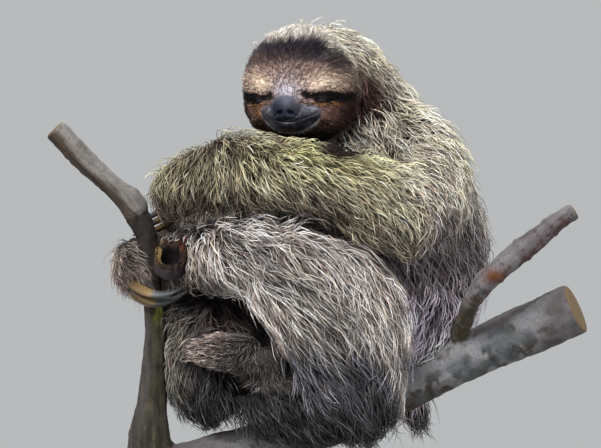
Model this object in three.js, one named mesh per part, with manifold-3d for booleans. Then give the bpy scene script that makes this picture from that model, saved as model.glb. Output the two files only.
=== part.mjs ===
// A three-toed sloth at life size, asleep in the fork of a small tree, on a plain display stand.
// Millimetres, +Z up. The origin is the centre of the underside of the stand's base, -Y is the side
// that the face looks to, and +X is the animal's back. The flesh bodies reach out to the coat's tips.
import * as THREE from "three";
import Module from "manifold-3d";

const wasm = await Module();
wasm.setup();

// ---- driving dimensions ----
const gap = 0.35; // clearance between touching solids
const baseLength = 340;
const baseDepth = 236;
const baseThickness = 20;
const baseCorner = 60;
const baseBevel = 3;
const rodRadius = 6;
const limbRadius = 21; // the thick branch that carries the animal
const uprightRadius = 8.6; // the slim branch held by the left foot
const upperRadius = 10;
const sideRadius = 8;
const stub = { radius: 14, length: 28, depth: 17, rim: 3, splinter: 9, slant: 5 };
const headCentre = [1.5, -46, 426.5];
const headYaw = 14.5; // degrees to the animal's right
const headNod = 10; // degrees down
const headHalf = { side: 53, top: 56.5, chin: 49, front: 47, back: 56 };
const jawSquareness = 0.5; // 0 is a plain egg; more makes the jaw below the eyes fuller
const muzzle = { reach: 17, drop: 18, spread: 0.42 };
const muzzleCut = { from: 47, lean: 0.5 }; // where the bare muzzle starts, and how its edge leans
const eye = { radius: 5.5, side: 26, drop: 5.2, forward: 35.5 };
const eyeSlit = [9, 2.6, 9];
const clawHalfHeight = 5.4;
const clawHalfWidth = 3;

const colours = {
  coat: 0x8a7f66,
  mask: 0xcbb38b,
  muzzle: 0x3b3a3e,
  claw: 0xa89a74,
  eye: 0x120d0a,
  bark: 0xa39a8f,
  base: 0x4a3323,
  rod: 0x8d8f92,
};

const part = new THREE.Group();
const placed = []; // the grown solids that later ones are cut by

// ---- surfaces ----

// A closed surface through rings of points, with one pole point at each end.
function closedRings(rings, firstPole, lastPole) {
  const sides = rings[0].length;
  const points = [firstPole, ...rings.flat(), lastPole];
  const triangles = [];
  const at = (ring, side) => 1 + ring * sides + (side % sides);
  for (let k = 0; k < sides; k++) {
    triangles.push(0, at(0, k + 1), at(0, k));
    triangles.push(points.length - 1, at(rings.length - 1, k), at(rings.length - 1, k + 1));
    for (let i = 0; i + 1 < rings.length; i++) {
      triangles.push(at(i, k), at(i, k + 1), at(i + 1, k));
      triangles.push(at(i, k + 1), at(i + 1, k + 1), at(i + 1, k));
    }
  }
  return solidOf(points, triangles);
}

// Points and triangle corners as a solid that faces outwards.
function solidOf(points, triangles) {
  const build = (corners) =>
    new wasm.Manifold(
      new wasm.Mesh({
        numProp: 3,
        vertProperties: new Float32Array(points.flatMap((p) => [p.x, p.y, p.z])),
        triVerts: new Uint32Array(corners),
      }),
    );
  const made = build(triangles);
  return made.volume() > 0 ? made : build([...triangles].reverse());
}

// A body lofted along a smooth line through stations [x, y, z, across, above, below].
// Each section is an oval: across is its half-width, and above and below its half-heights
// towards and away from up. The ends are domes, as deep as round times the end's own size, with a
// ring at each of the dome's turns (radians from its edge). A pair of rounds is for start and end.
function loft(stations, options, grow = 0) {
  const { sides = 12, steps = 2, up = [0, 0, 1], round = 0.6, dome = [0.75] } = options;
  const [startRound, endRound] = [round, round].flat().slice(0, 2);
  const curve = new THREE.CatmullRomCurve3(
    stations.map((s) => new THREE.Vector3(...s)),
    false,
    "centripetal",
  );
  const sizes = new THREE.CatmullRomCurve3(
    stations.map((s) => new THREE.Vector3(s[3], s[4] ?? s[3], s[5] ?? s[4] ?? s[3])),
  );
  const count = (stations.length - 1) * steps;
  const upward = new THREE.Vector3(...up);
  const section = (t, push, scale) => {
    const tangent = curve.getTangent(t);
    const side = new THREE.Vector3().crossVectors(upward, tangent).normalize();
    const rise = new THREE.Vector3().crossVectors(tangent, side).normalize();
    const centre = curve.getPoint(t).addScaledVector(tangent, push);
    const size = sizes.getPoint(t);
    const ring = Array.from({ length: sides }, (_, k) => {
      const angle = (2 * Math.PI * k) / sides;
      const height = Math.sin(angle) > 0 ? size.y : size.z;
      return centre
        .clone()
        .addScaledVector(side, (size.x + grow) * Math.cos(angle) * scale)
        .addScaledVector(rise, (height + grow) * Math.sin(angle) * scale);
    });
    return { ring, centre, mean: (size.x + size.y + size.z) / 3 };
  };
  const first = section(0, 0, 1);
  const last = section(1, 0, 1);
  const startDepth = startRound * first.mean + grow;
  const endDepth = endRound * last.mean + grow;
  const startRings = dome.map((a) => section(0, -startDepth * Math.sin(a), Math.cos(a)).ring);
  const endRings = dome.map((a) => section(1, endDepth * Math.sin(a), Math.cos(a)).ring).reverse();
  const body = Array.from({ length: count + 1 }, (_, i) => section(i / count, 0, 1).ring);
  return closedRings(
    [...startRings, ...body, ...endRings],
    section(0, -startDepth, 1).centre,
    section(1, endDepth, 1).centre,
  );
}

// A hooked claw: an oval section that shrinks to a blunt tip along a bowed line.
function claw(base, bow, tip, grow = 0) {
  const line = new THREE.QuadraticBezierCurve3(...[base, bow, tip].map((p) => new THREE.Vector3(...p)));
  const count = 4;
  const stations = Array.from({ length: count + 1 }, (_, i) => {
    const t = i / count;
    const p = line.getPoint(t);
    const taper = 1 - 0.84 * t ** 2.3;
    return [p.x, p.y, p.z, clawHalfWidth * taper, clawHalfHeight * taper];
  });
  return loft(stations, { sides: 6, steps: 1, round: 1 }, grow);
}

// ---- the head ----

const faceward = new THREE.Vector3(
  -Math.sin(THREE.MathUtils.degToRad(headYaw)) * Math.cos(THREE.MathUtils.degToRad(headNod)),
  -Math.cos(THREE.MathUtils.degToRad(headYaw)) * Math.cos(THREE.MathUtils.degToRad(headNod)),
  -Math.sin(THREE.MathUtils.degToRad(headNod)),
);
const leftward = new THREE.Vector3(0, 0, 1).cross(faceward).normalize(); // the animal's left
const crownward = new THREE.Vector3().crossVectors(faceward, leftward).normalize();

// A point of the head's own frame, to its left, its crown and its face.
function onHead(left, crown, face) {
  return new THREE.Vector3(...headCentre)
    .addScaledVector(leftward, left)
    .addScaledVector(crownward, crown)
    .addScaledVector(faceward, face);
}

// Rings round the face's axis: an egg with its own half-size each way, squarer at the jaw, and a
// blunt muzzle as a bell on it.
function headSolid(grow = 0) {
  const ringCount = 11;
  const sides = 18;
  const muzzleWay = new THREE.Vector3(0, -muzzle.drop, 60).normalize();
  const surface = (turn, angle) => {
    const way = new THREE.Vector3(
      Math.sin(turn) * Math.cos(angle),
      Math.sin(turn) * Math.sin(angle),
      Math.cos(turn),
    );
    const height = way.y > 0 ? headHalf.top : headHalf.chin;
    const length = way.z > 0 ? headHalf.front : headHalf.back;
    const power = 2 + jawSquareness * Math.min(Math.max(-2 * way.y, 0), 1);
    const shares = [way.x / headHalf.side, way.y / height, way.z / length];
    const egg = shares.reduce((sum, share) => sum + Math.abs(share) ** power, 0) ** (-1 / power);
    const bell = muzzle.reach * Math.exp(-((way.angleTo(muzzleWay) / muzzle.spread) ** 2));
    const reach = egg + bell + grow;
    return onHead(way.x * reach, way.y * reach, way.z * reach);
  };
  const rings = Array.from({ length: ringCount }, (_, i) => {
    const share = (i + 1) / (ringCount + 1);
    const turn = Math.PI * share ** 1.2; // closer together round the muzzle
    return Array.from({ length: sides }, (_, k) => surface(turn, (2 * Math.PI * k) / sides));
  });
  return closedRings(rings, surface(0, 0), surface(Math.PI, 0));
}

// A ball with three half-sizes along the head's own axes.
function headBall(left, crown, face, half, sides = 8) {
  const ballRings = sides / 2;
  const at = (turn, angle) =>
    onHead(
      left + half[0] * Math.sin(turn) * Math.cos(angle),
      crown + half[1] * Math.sin(turn) * Math.sin(angle),
      face + half[2] * Math.cos(turn),
    );
  const rings = Array.from({ length: ballRings }, (_, i) =>
    Array.from({ length: sides }, (_, k) =>
      at((Math.PI * (i + 1)) / (ballRings + 1), (2 * Math.PI * k) / sides),
    ),
  );
  return closedRings(rings, at(0, 0), at(Math.PI, 0));
}

// A block in front of a plane across the face, this far from the head's centre and leaning forward.
function faceBlock(from) {
  const half = 90;
  const depth = 120;
  const corners = [0, depth].flatMap((d) =>
    [[-1, -1], [1, -1], [1, 1], [-1, 1]].map(([a, b]) =>
      onHead(a * half, b * half, from + d + muzzleCut.lean * (b * half + muzzle.drop)),
    ),
  );
  const quads = [[0, 1, 2, 3], [4, 7, 6, 5], [0, 4, 5, 1], [1, 5, 6, 2], [2, 6, 7, 3], [3, 7, 4, 0]];
  return solidOf(corners, quads.flatMap(([a, b, c, d]) => [a, b, c, a, c, d]));
}

// ---- adding pieces ----

function largest(solid) {
  const bodies = solid.decompose();
  return bodies.reduce((a, b) => (a.volume() > b.volume() ? a : b));
}

function addMesh(name, solid, colour, roughness = 0.9, metalness = 0) {
  const { vertProperties, triVerts, numProp } = solid.getMesh();
  const positions = new Float32Array((vertProperties.length / numProp) * 3);
  for (let i = 0; i < positions.length / 3; i++) {
    positions.set(vertProperties.subarray(i * numProp, i * numProp + 3), i * 3);
  }
  const geometry = new THREE.BufferGeometry()
    .setAttribute("position", new THREE.BufferAttribute(positions, 3))
    .setIndex(new THREE.BufferAttribute(triVerts, 1));
  geometry.computeVertexNormals();
  const material = new THREE.MeshStandardMaterial({ color: colour, roughness, metalness });
  const mesh = new THREE.Mesh(geometry, material);
  mesh.name = name;
  part.add(mesh);
}

// Cuts a piece by all that is there already, adds it, and keeps its grown form to cut later ones.
function place(name, shape, colour, roughness, metalness) {
  const solid = placed.reduce((left, cutter) => left.subtract(cutter), shape(0));
  addMesh(name, largest(solid), colour, roughness, metalness);
  placed.push(shape(gap));
}

// ---- the stand: a bevelled base and two short rods ----

const bevelRing = (inset, z) => {
  const corners = [[1, 1], [-1, 1], [-1, -1], [1, -1]];
  const turns = 3; // corner facets
  return corners.flatMap(([sx, sy], quarter) =>
    Array.from({ length: turns + 1 }, (_, k) => {
      const angle = (Math.PI / 2) * (quarter + k / turns);
      return new THREE.Vector3(
        sx * (baseLength / 2 - baseCorner) + (baseCorner - inset) * Math.cos(angle),
        sy * (baseDepth / 2 - baseCorner) + (baseCorner - inset) * Math.sin(angle),
        z,
      );
    }),
  );
};
const standBase = closedRings(
  [
    bevelRing(0, 0),
    bevelRing(0, baseThickness - baseBevel),
    bevelRing(baseBevel, baseThickness),
  ],
  new THREE.Vector3(0, 0, 0),
  new THREE.Vector3(0, 0, baseThickness),
);
place("stand_base", () => standBase, colours.base, 0.45);

// ---- the perch ----

const limbLine = [
  [-126, -26, 80, limbRadius * 1.15],
  [-105, -22, 91, limbRadius * 1.08],
  [-68, -15, 103, limbRadius],
  [-17, -12, 119, limbRadius],
  [35, -12, 136, limbRadius],
  [108, -18, 171, limbRadius * 0.95],
  [158, -28, 197, limbRadius],
  [220, -44, 224, limbRadius * 1.1],
  [240, -49, 233, limbRadius * 1.12],
];
const uprightLine = [
  [-134, -27, 66, uprightRadius * 3],
  [-132, -27, 121, uprightRadius * 2.2],
  [-130, -28, 145, uprightRadius * 1.6],
  [-128, -28, 175, uprightRadius * 1.3],
  [-127, -28, 206, uprightRadius * 1.12],
  [-128, -28, 232, uprightRadius],
  [-129, -28, 262, uprightRadius * 1.05],
  [-134, -27, 296, uprightRadius],
  [-141, -26, 311, uprightRadius * 1.2],
];
const upperLine = [
  [-143, -26, 318, upperRadius * 1.15],
  [-150, -26, 329, upperRadius * 1.22],
  [-160, -27, 337, upperRadius * 1.05],
  [-183, -28, 357, upperRadius * 0.98],
  [-214, -32, 390, upperRadius * 1.02],
];
const sideLine = [
  [138, -36, 210, sideRadius * 0.8],
  [142, -52, 222, sideRadius * 0.9],
  [148, -73, 238, sideRadius],
  [158, -86, 256, sideRadius * 1.2],
  [176, -88, 272, sideRadius * 1.2],
  [194, -87, 287, sideRadius * 1.18],
  [220, -86, 308, sideRadius * 1.1],
  [236, -85, 318, sideRadius * 1.05],
];

const limbRound = { sides: 14, steps: 1, round: [0.3, 0.02] };
place("perch_limb", (grow) => loft(limbLine, limbRound, grow), colours.bark);

for (const [name, x, y] of [["stand_rod_left", -78, -16], ["stand_rod_right", 62, -14]]) {
  const rod = (grow) =>
    loft(
      [[x, y, baseThickness + gap, rodRadius], [x, y, 130, rodRadius]],
      { steps: 1, up: [0, 1, 0], round: 0, dome: [] },
      grow,
    );
  place(name, rod, colours.rod, 0.35, 0.9);
}

const branchRound = { sides: 10, steps: 1, up: [0, -1, 0], round: 0.3 };
const branchSawn = { ...branchRound, round: [0.3, 0.02] }; // the far end is a flat saw cut
place("perch_upright", (grow) => loft(uprightLine, branchRound, grow), colours.bark);
place("perch_upper_branch", (grow) => loft(upperLine, branchSawn, grow), colours.bark);
place("perch_side_branch", (grow) => loft(sideLine, branchSawn, grow), colours.bark);

// A snapped, hollow stub: rings up the outside to a torn rim, then down into the hollow.
function stubSolid(grow = 0) {
  const sides = 14;
  const foot = new THREE.Vector3(-115, -37, 260);
  const axis = new THREE.Vector3(0.1, -0.68, 0.72).normalize();
  const across = new THREE.Vector3(0, 0, 1).cross(axis).normalize();
  const rise = new THREE.Vector3().crossVectors(axis, across);
  const tear = (angle) =>
    stub.slant * Math.sin(angle) +
    stub.rim * (Math.sin(angle + 1) + 0.6 * Math.sin(3 * angle)) +
    stub.splinter * Math.exp(-(((angle - 0.5) / 0.4) ** 2));
  const ring = (radius, along, torn) =>
    Array.from({ length: sides }, (_, k) => {
      const angle = (2 * Math.PI * k) / sides;
      return foot
        .clone()
        .addScaledVector(axis, along + (torn ? tear(angle) : 0))
        .addScaledVector(across, radius * Math.cos(angle))
        .addScaledVector(rise, radius * Math.sin(angle));
    });
  const outer = stub.radius + grow;
  const hollow = grow ? outer * 0.2 : stub.radius * 0.66; // a grown stub is a cutter and stays solid
  const floor = grow ? stub.length : stub.length - stub.depth;
  return closedRings(
    [
      ring(outer * 0.86, -3 - grow, false),
      ring(outer * 0.94, stub.length * 0.5, false),
      ring(outer, stub.length + grow, true),
      ring(grow ? outer * 0.6 : stub.radius * 0.8, stub.length + (grow || -0.5), true),
      ring(hollow, floor, false),
    ],
    foot.clone().addScaledVector(axis, -8 - 2 * grow),
    foot.clone().addScaledVector(axis, floor - 1),
  );
}
place("perch_stub", stubSolid, colours.bark);

// ---- claws: three on each hand and foot, [base, bow, tip] ----

const claws = {
  left_foot: [
    [[-147, -42, 256], [-124, -71, 238], [-102, -55, 252]],
    [[-144, -40, 250], [-122, -61, 230], [-98, -45, 249]],
    [[-147, -33, 248], [-127, -52, 230], [-107, -37, 243]],
  ],
  right_foot: [0, 1, 2].map((k) => [
    [-14 + 9 * k, -44, 174 - k],
    [-6 + 9 * k, -44, 146],
    [-10 + 9 * k, -37, 122 + 2 * k],
  ]),
  left_hand: [0, 1, 2].map((k) => [
    [-113, -17, 328 - 9 * k],
    [-124, 17, 314 - 7 * k],
    [-147, 0, 309 - 6 * k],
  ]),
  right_hand: [0, 1, 2].map((k) => [
    [-112, 38, 297 - 11 * k],
    [-134, 47, 296 - 11 * k],
    [-148, 26, 288 - 10 * k],
  ]),
};
for (const [limbName, hooks] of Object.entries(claws)) {
  hooks.forEach((hook, k) => {
    place(`${limbName}_claw_${k + 1}`, (grow) => claw(...hook, grow), colours.claw, 0.5);
  });
}

// ---- eyes, sunk behind a slit between the lids ----

for (const [name, side] of [["eye_left", 1], ["eye_right", -1]]) {
  const ball = (grow) => {
    const r = eye.radius + grow;
    return headBall(side * eye.side, -eye.drop, eye.forward, [r, r, r]);
  };
  place(name, ball, colours.eye, 0.15);
}

// ---- the body, from the trunk outwards ----

const cameraUp = [0, -1, 0];
const flesh = {
  trunk: [
    [
      [46, 0, 410, 34, 40, 48],
      [58, 4, 390, 60, 58, 66],
      [54, 5, 363, 88, 70, 78],
      [57, 6, 328, 103, 76, 84],
      [60, 6, 278, 109, 80, 86],
      [70, 6, 232, 95, 78, 84],
      [74, 10, 200, 74, 56, 78],
      [70, 16, 174, 44, 42, 60],
      [68, 20, 152, 32, 32, 44],
    ],
    { sides: 14, steps: 1, up: cameraUp, round: 0.3 },
  ],
  tail: [
    [
      [86, 52, 168, 20, 20],
      [97, 44, 150, 19, 19],
      [105, 36, 138, 15, 14],
    ],
    { sides: 8, steps: 1, up: cameraUp, round: 0.9, dome: [0.9, 0.5] },
  ],
  neck: [
    [
      [9, -22, 451, 40, 33, 38],
      [25, -14, 437, 46, 36, 44],
      [48, -4, 413, 46, 42, 52],
      [70, 4, 391, 44, 48, 58],
      [90, 8, 370, 34, 44, 50],
    ],
    { sides: 14, steps: 1, up: cameraUp, round: 0.4 },
  ],
  right_thigh: [
    [
      [62, 52, 180, 44, 40, 40],
      [20, 60, 198, 46, 42, 36],
      [-24, 58, 212, 44, 40, 34],
      [-60, 46, 216, 38, 36, 32],
    ],
    { steps: 1, round: 0.5, dome: [1, 0.55] },
  ],
  right_shank: [
    [
      [-95, 30, 210, 38, 60, 64],
      [-85, 4, 208, 44, 57, 72],
      [-74, -26, 198, 48, 38, 74],
      [-68, -42, 192, 44, 28, 66],
    ],
    { steps: 1, round: 0.35 },
  ],
  right_foot: [
    [
      [-103, -60, 192, 7, 7, 6],
      [-90, -64, 196, 13, 13, 12],
      [-70, -67, 198, 16, 16, 18],
      [-46, -65, 194, 17, 17, 19],
      [-26, -59, 185, 18, 14, 18],
      [-12, -52, 176, 17, 12, 14],
    ],
    { steps: 1, round: 0.7, dome: [1, 0.55] },
  ],
  belly: [
    [
      [-70, -50, 156, 12, 20, 24],
      [-42, -56, 152, 18, 24, 36],
      [-8, -62, 148, 22, 24, 36],
      [24, -62, 146, 24, 24, 32],
    ],
    { sides: 8, steps: 1, round: 0.6 },
  ],
  right_upper_arm: [
    [
      [82, 58, 372, 40, 42, 40],
      [4, 70, 357, 37, 38, 37],
      [-50, 66, 343, 34, 35, 35],
    ],
    { sides: 10, steps: 1, round: 0.5, dome: [1, 0.55] },
  ],
  right_forearm: [
    [
      [-52, 65, 341, 33, 34, 34],
      [-76, 56, 325, 30, 32, 32],
      [-96, 46, 308, 25, 27, 27],
    ],
    { steps: 1, round: 0.5 },
  ],
  right_hand: [
    [
      [-94, 46, 308, 23, 25, 25],
      [-106, 41, 298, 19, 20, 22],
      [-117, 36, 289, 15, 16, 18],
    ],
    { steps: 1, round: 0.7 },
  ],
  left_shank: [
    [
      [-28, -93, 278, 32, 42, 36],
      [-56, -78, 280, 30, 43, 34],
      [-82, -41, 280, 27, 38, 32],
      [-96, -16, 280, 24, 34, 30],
    ],
    { steps: 1, round: 0.35 },
  ],
  left_foot: [
    [
      [-98, -12, 277, 21, 33, 25],
      [-114, 3, 275, 18, 33, 22],
      [-131, 7, 274, 15, 29, 20],
      [-146, 0, 273, 15, 28, 20],
      [-151, -17, 270, 14, 28, 18],
      [-149, -34, 262, 13, 24, 15],
    ],
    { steps: 1, round: 0.7, dome: [1, 0.55] },
  ],
  left_thigh: [
    [
      [-16, -95, 276, 46, 36, 34],
      [12, -94, 255, 58, 36, 42],
      [38, -88, 221, 62, 34, 45],
      [46, -76, 184, 52, 32, 44],
      [50, -66, 154, 44, 28, 38],
      [58, -60, 132, 32, 20, 24],
    ],
    { steps: 1, up: cameraUp, round: 0.45, dome: [1, 0.55] },
  ],
  left_upper_arm: [
    [
      [94, -14, 384, 36, 34, 34],
      [104, -44, 352, 44, 36, 36],
      [104, -72, 318, 42, 34, 34],
    ],
    { up: cameraUp, round: 0.55 },
  ],
  left_forearm: [
    [
      [98, -84, 306, 28, 42, 34],
      [62, -98, 326, 28, 40, 36],
      [22, -104, 343, 27, 34, 30],
      [-20, -104, 351, 27, 36, 31],
      [-58, -94, 351, 28, 44, 33],
    ],
    { round: 0.5 },
  ],
  left_hand: [
    [
      [-60, -93, 351, 27, 43, 33],
      [-88, -78, 346, 26, 31, 31],
      [-108, -54, 338, 23, 26, 27],
      [-114, -24, 330, 17, 22, 22],
    ],
    { steps: 1, round: 0.6, dome: [1, 0.55] },
  ],
};

for (const name of ["trunk", "tail", "neck"]) {
  place(name, (grow) => loft(...flesh[name], grow), colours.coat);
}

// The head is cut to the eyes and their slits, and its bare muzzle parted from it.
const slitFace = eye.forward + eye.radius + 2;
const slits = [1, -1].map((side) => headBall(side * eye.side, -eye.drop, slitFace, eyeSlit));
const cutHead = [...placed, ...slits].reduce((left, cutter) => left.subtract(cutter), headSolid());
addMesh("head", largest(cutHead.subtract(faceBlock(muzzleCut.from))), colours.mask);
addMesh("muzzle", largest(cutHead.intersect(faceBlock(muzzleCut.from + gap))), colours.muzzle, 0.6);
placed.push(headSolid(gap));

for (const name of Object.keys(flesh).filter((key) => !["trunk", "tail", "neck"].includes(key))) {
  place(name, (grow) => loft(...flesh[name], grow), colours.coat);
}

export default part;
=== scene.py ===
import math

import bpy
import numpy as np
import openvdb
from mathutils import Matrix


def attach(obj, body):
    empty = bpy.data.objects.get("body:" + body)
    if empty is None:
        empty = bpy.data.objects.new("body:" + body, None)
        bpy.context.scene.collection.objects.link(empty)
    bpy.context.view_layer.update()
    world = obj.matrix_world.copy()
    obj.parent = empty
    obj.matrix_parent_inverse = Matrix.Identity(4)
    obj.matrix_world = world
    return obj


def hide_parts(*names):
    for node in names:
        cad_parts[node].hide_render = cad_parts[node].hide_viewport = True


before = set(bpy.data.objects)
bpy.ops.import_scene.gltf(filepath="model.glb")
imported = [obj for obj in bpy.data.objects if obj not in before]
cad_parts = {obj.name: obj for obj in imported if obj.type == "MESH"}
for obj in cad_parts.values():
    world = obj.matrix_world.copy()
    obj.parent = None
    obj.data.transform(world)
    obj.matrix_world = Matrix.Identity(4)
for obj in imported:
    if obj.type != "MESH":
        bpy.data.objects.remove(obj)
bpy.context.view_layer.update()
# shapes are worked out in millimetres and put into the meshes in metres
metresPerMm = 0.001
mmPerMetre = 1000.0
farAway = 1e3
latticeSize = 24


def vec(*values):
    return np.array(values, dtype=np.float64)


def unit(vectors):
    return vectors / np.maximum(np.linalg.norm(vectors, axis=-1, keepdims=True), 1e-9)


# smooth step: 0 below low, 1 above high
def ramp(value, low, high):
    t = np.clip((value - low) / (high - low), 0.0, 1.0)
    return t * t * (3.0 - 2.0 * t)


def mix(a, b, amount):
    return a + (b - a) * amount


# a soft round hill of height 1
def hill(x, y, cx, cy, rx, ry):
    return np.exp(-((x - cx) / rx) ** 2 - ((y - cy) / ry) ** 2)


# angles evenly round a circle, from 0
def fullTurn(count):
    return np.linspace(0.0, 2.0 * math.pi, count, endpoint=False)


# the 0 to 255 values of a paint colour, made linear
def srgb(red, green, blue):
    c = np.array((red, green, blue)) / 255.0
    return np.where(c <= 0.04045, c / 12.92, ((c + 0.055) / 1.055) ** 2.4)


# paints laid over a colour in turn, each by its own amount from 0 to 1
def layOver(colour, paints, layers):
    for name, amount in layers:
        colour = mix(colour, paints[name], np.clip(amount, 0.0, 1.0)[:, None])
    return colour


# values at the eight corners of each point's cube, blended by how near the point is to each
def blendCorners(cell, part, valueAt):
    total = np.zeros(len(part))
    for corner in range(8):
        step = np.array((corner & 1, corner >> 1 & 1, corner >> 2 & 1))
        weight = np.prod(np.where(step, part, 1.0 - part), axis=1)
        total += weight * valueAt(*(cell + step).T)
    return total


# value noise, -1 to 1: a repeating lattice of random numbers, blended with smooth steps
def softNoise(points, size, seed):
    lattice = np.random.default_rng(seed).uniform(-1.0, 1.0, (latticeSize,) * 3)
    grid = points / size
    cell = np.floor(grid).astype(np.int64)
    part = grid - cell
    part = part * part * (3.0 - 2.0 * part)
    n = latticeSize
    return blendCorners(cell, part, lambda i, j, k: lattice[i % n, j % n, k % n])


# points in mm and an array of equal-sided faces become an object that rides on the still body
def makeMesh(name, points, faces, material, smooth=True):
    faces = np.asarray(faces, dtype=np.int32)
    mesh = bpy.data.meshes.new(name)
    mesh.vertices.add(len(points))
    mesh.vertices.foreach_set("co", (np.asarray(points) * metresPerMm).astype(np.float32).ravel())
    mesh.loops.add(faces.size)
    mesh.loops.foreach_set("vertex_index", faces.ravel())
    mesh.polygons.add(len(faces))
    mesh.polygons.foreach_set("loop_start", np.arange(0, faces.size, faces.shape[1], dtype=np.int32))
    mesh.update(calc_edges=True)
    mesh.polygons.foreach_set("use_smooth", np.full(len(faces), smooth))
    mesh.materials.append(material)
    piece = bpy.data.objects.new(name, mesh)
    bpy.context.scene.collection.objects.link(piece)
    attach(piece, "root")
    return piece


# corner points in mm and triangles of a mesh
def readMesh(mesh):
    points = np.empty(len(mesh.vertices) * 3, np.float32)
    mesh.vertices.foreach_get("co", points)
    mesh.calc_loop_triangles()
    triangles = np.empty(len(mesh.loop_triangles) * 3, np.int32)
    mesh.loop_triangles.foreach_get("vertices", triangles)
    return points.reshape(-1, 3).astype(np.float64) * mmPerMetre, triangles.reshape(-1, 3)


# corner points and triangles of several CAD nodes, in one list
def cadArrays(*names):
    points, faces, count = [], [], 0
    for name in names:
        corners, triangles = readMesh(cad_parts[name].data)
        points.append(corners)
        faces.append(triangles + count)
        count += len(corners)
    return np.concatenate(points), np.concatenate(faces)


# quads of a grid of rows by columns, the columns joined round into a tube
def tubeFaces(rows, columns):
    r, c = np.meshgrid(np.arange(rows - 1), np.arange(columns), indexing="ij")
    nextC = (c + 1) % columns
    corners = (r * columns + c, r * columns + nextC, (r + 1) * columns + nextC, (r + 1) * columns + c)
    return np.stack([k.ravel() for k in corners], axis=1)


# triangles of rings by spokes with a fan over each end; the two end points come last
def closedFaces(rings, spokes):
    quads = tubeFaces(rings, spokes)
    ringA = np.arange(spokes)
    ringB = (rings - 1) * spokes + ringA
    first, last = rings * spokes, rings * spokes + 1
    return np.concatenate((
        quads[:, [0, 1, 2]], quads[:, [0, 2, 3]],
        np.stack((np.roll(ringA, -1), ringA, np.full(spokes, first)), 1),
        np.stack((ringB, np.roll(ringB, -1), np.full(spokes, last)), 1)))


# triangles turned round if the closed shape's volume comes out negative
def facesOutward(points, triangles):
    a, b, c = (points[triangles[:, k]] - points.mean(0) for k in range(3))
    return triangles[:, ::-1] if np.einsum("ij,ij->i", a, np.cross(b, c)).sum() < 0.0 else triangles


def giveColour(piece, name, colours):
    layer = piece.data.attributes.new(name, "FLOAT_COLOR", "POINT")
    full = np.ones((len(colours), 4), np.float32)
    full[:, :3] = colours
    layer.data.foreach_set("color", full.ravel())


def giveNumber(piece, name, numbers):
    layer = piece.data.attributes.new(name, "FLOAT", "POINT")
    layer.data.foreach_set("value", np.asarray(numbers, np.float32))


def giveVector(piece, name, vectors):
    layer = piece.data.attributes.new(name, "FLOAT_VECTOR", "POINT")
    layer.data.foreach_set("vector", np.asarray(vectors, np.float32).ravel())


# signed distances in mm on a box of cubes, negative inside
class Field:
    def __init__(self, low, high, step):
        self.low, self.step = vec(*low), step
        self.shape = tuple(int(math.ceil((b - a) / step)) + 1 for a, b in zip(low, high))
        self.values = None

    # distances to a closed mesh, true as far out and in as the two given widths
    def measure(self, points, faces, outer, inner):
        at = (points - self.low).astype(np.float32)
        kind = "quads" if faces.shape[1] == 4 else "triangles"
        grid = openvdb.FloatGrid.createLevelSetFromPolygons(
            at, **{kind: faces.astype(np.uint32)}, transform=openvdb.createLinearTransform(self.step),
            exBandWidth=outer / self.step, inBandWidth=inner / self.step)
        values = np.full(self.shape, outer, np.float32)
        grid.copyToArray(values)
        return values

    # the closed surface of quads where the values pass nought
    def surface(self, values):
        grid = openvdb.FloatGrid(float(values.max()))
        grid.copyFromArray(np.ascontiguousarray(values))
        grid.transform = openvdb.createLinearTransform(self.step)
        points, _, quads = grid.convertToPolygons(isovalue=0.0, adaptivity=0.0)
        return points.astype(np.float64) + self.low, quads.astype(np.int64)

    def sample(self, points):
        grid = np.clip((points - self.low) / self.step, 0.0, np.array(self.shape) - 1.001)
        cell = grid.astype(np.int64)
        return blendCorners(cell, grid - cell, lambda i, j, k: self.values[i, j, k])

    # unit direction in which the distance grows
    def slope(self, points):
        moves = np.eye(3) * self.step * 0.75
        return unit(np.stack([self.sample(points + m) - self.sample(points - m) for m in moves], axis=1))

    def nearest(self, points, values):
        last = np.array(self.shape) - 1
        cell = np.clip(np.rint((points - self.low) / self.step).astype(np.int64), 0, last)
        return values[cell[:, 0], cell[:, 1], cell[:, 2]]


# each value becomes the mean of itself, counted twice, and its two neighbours, along every axis
def blur(values, times):
    for _ in range(times):
        for axis in range(3):
            last = values.shape[axis] - 1
            before = np.concatenate((values.take([0], axis), values.take(range(last), axis)), axis)
            after = np.concatenate((values.take(range(1, last + 1), axis), values.take([last], axis)), axis)
            values = before * 0.25 + values * 0.5 + after * 0.25
    return values


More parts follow.
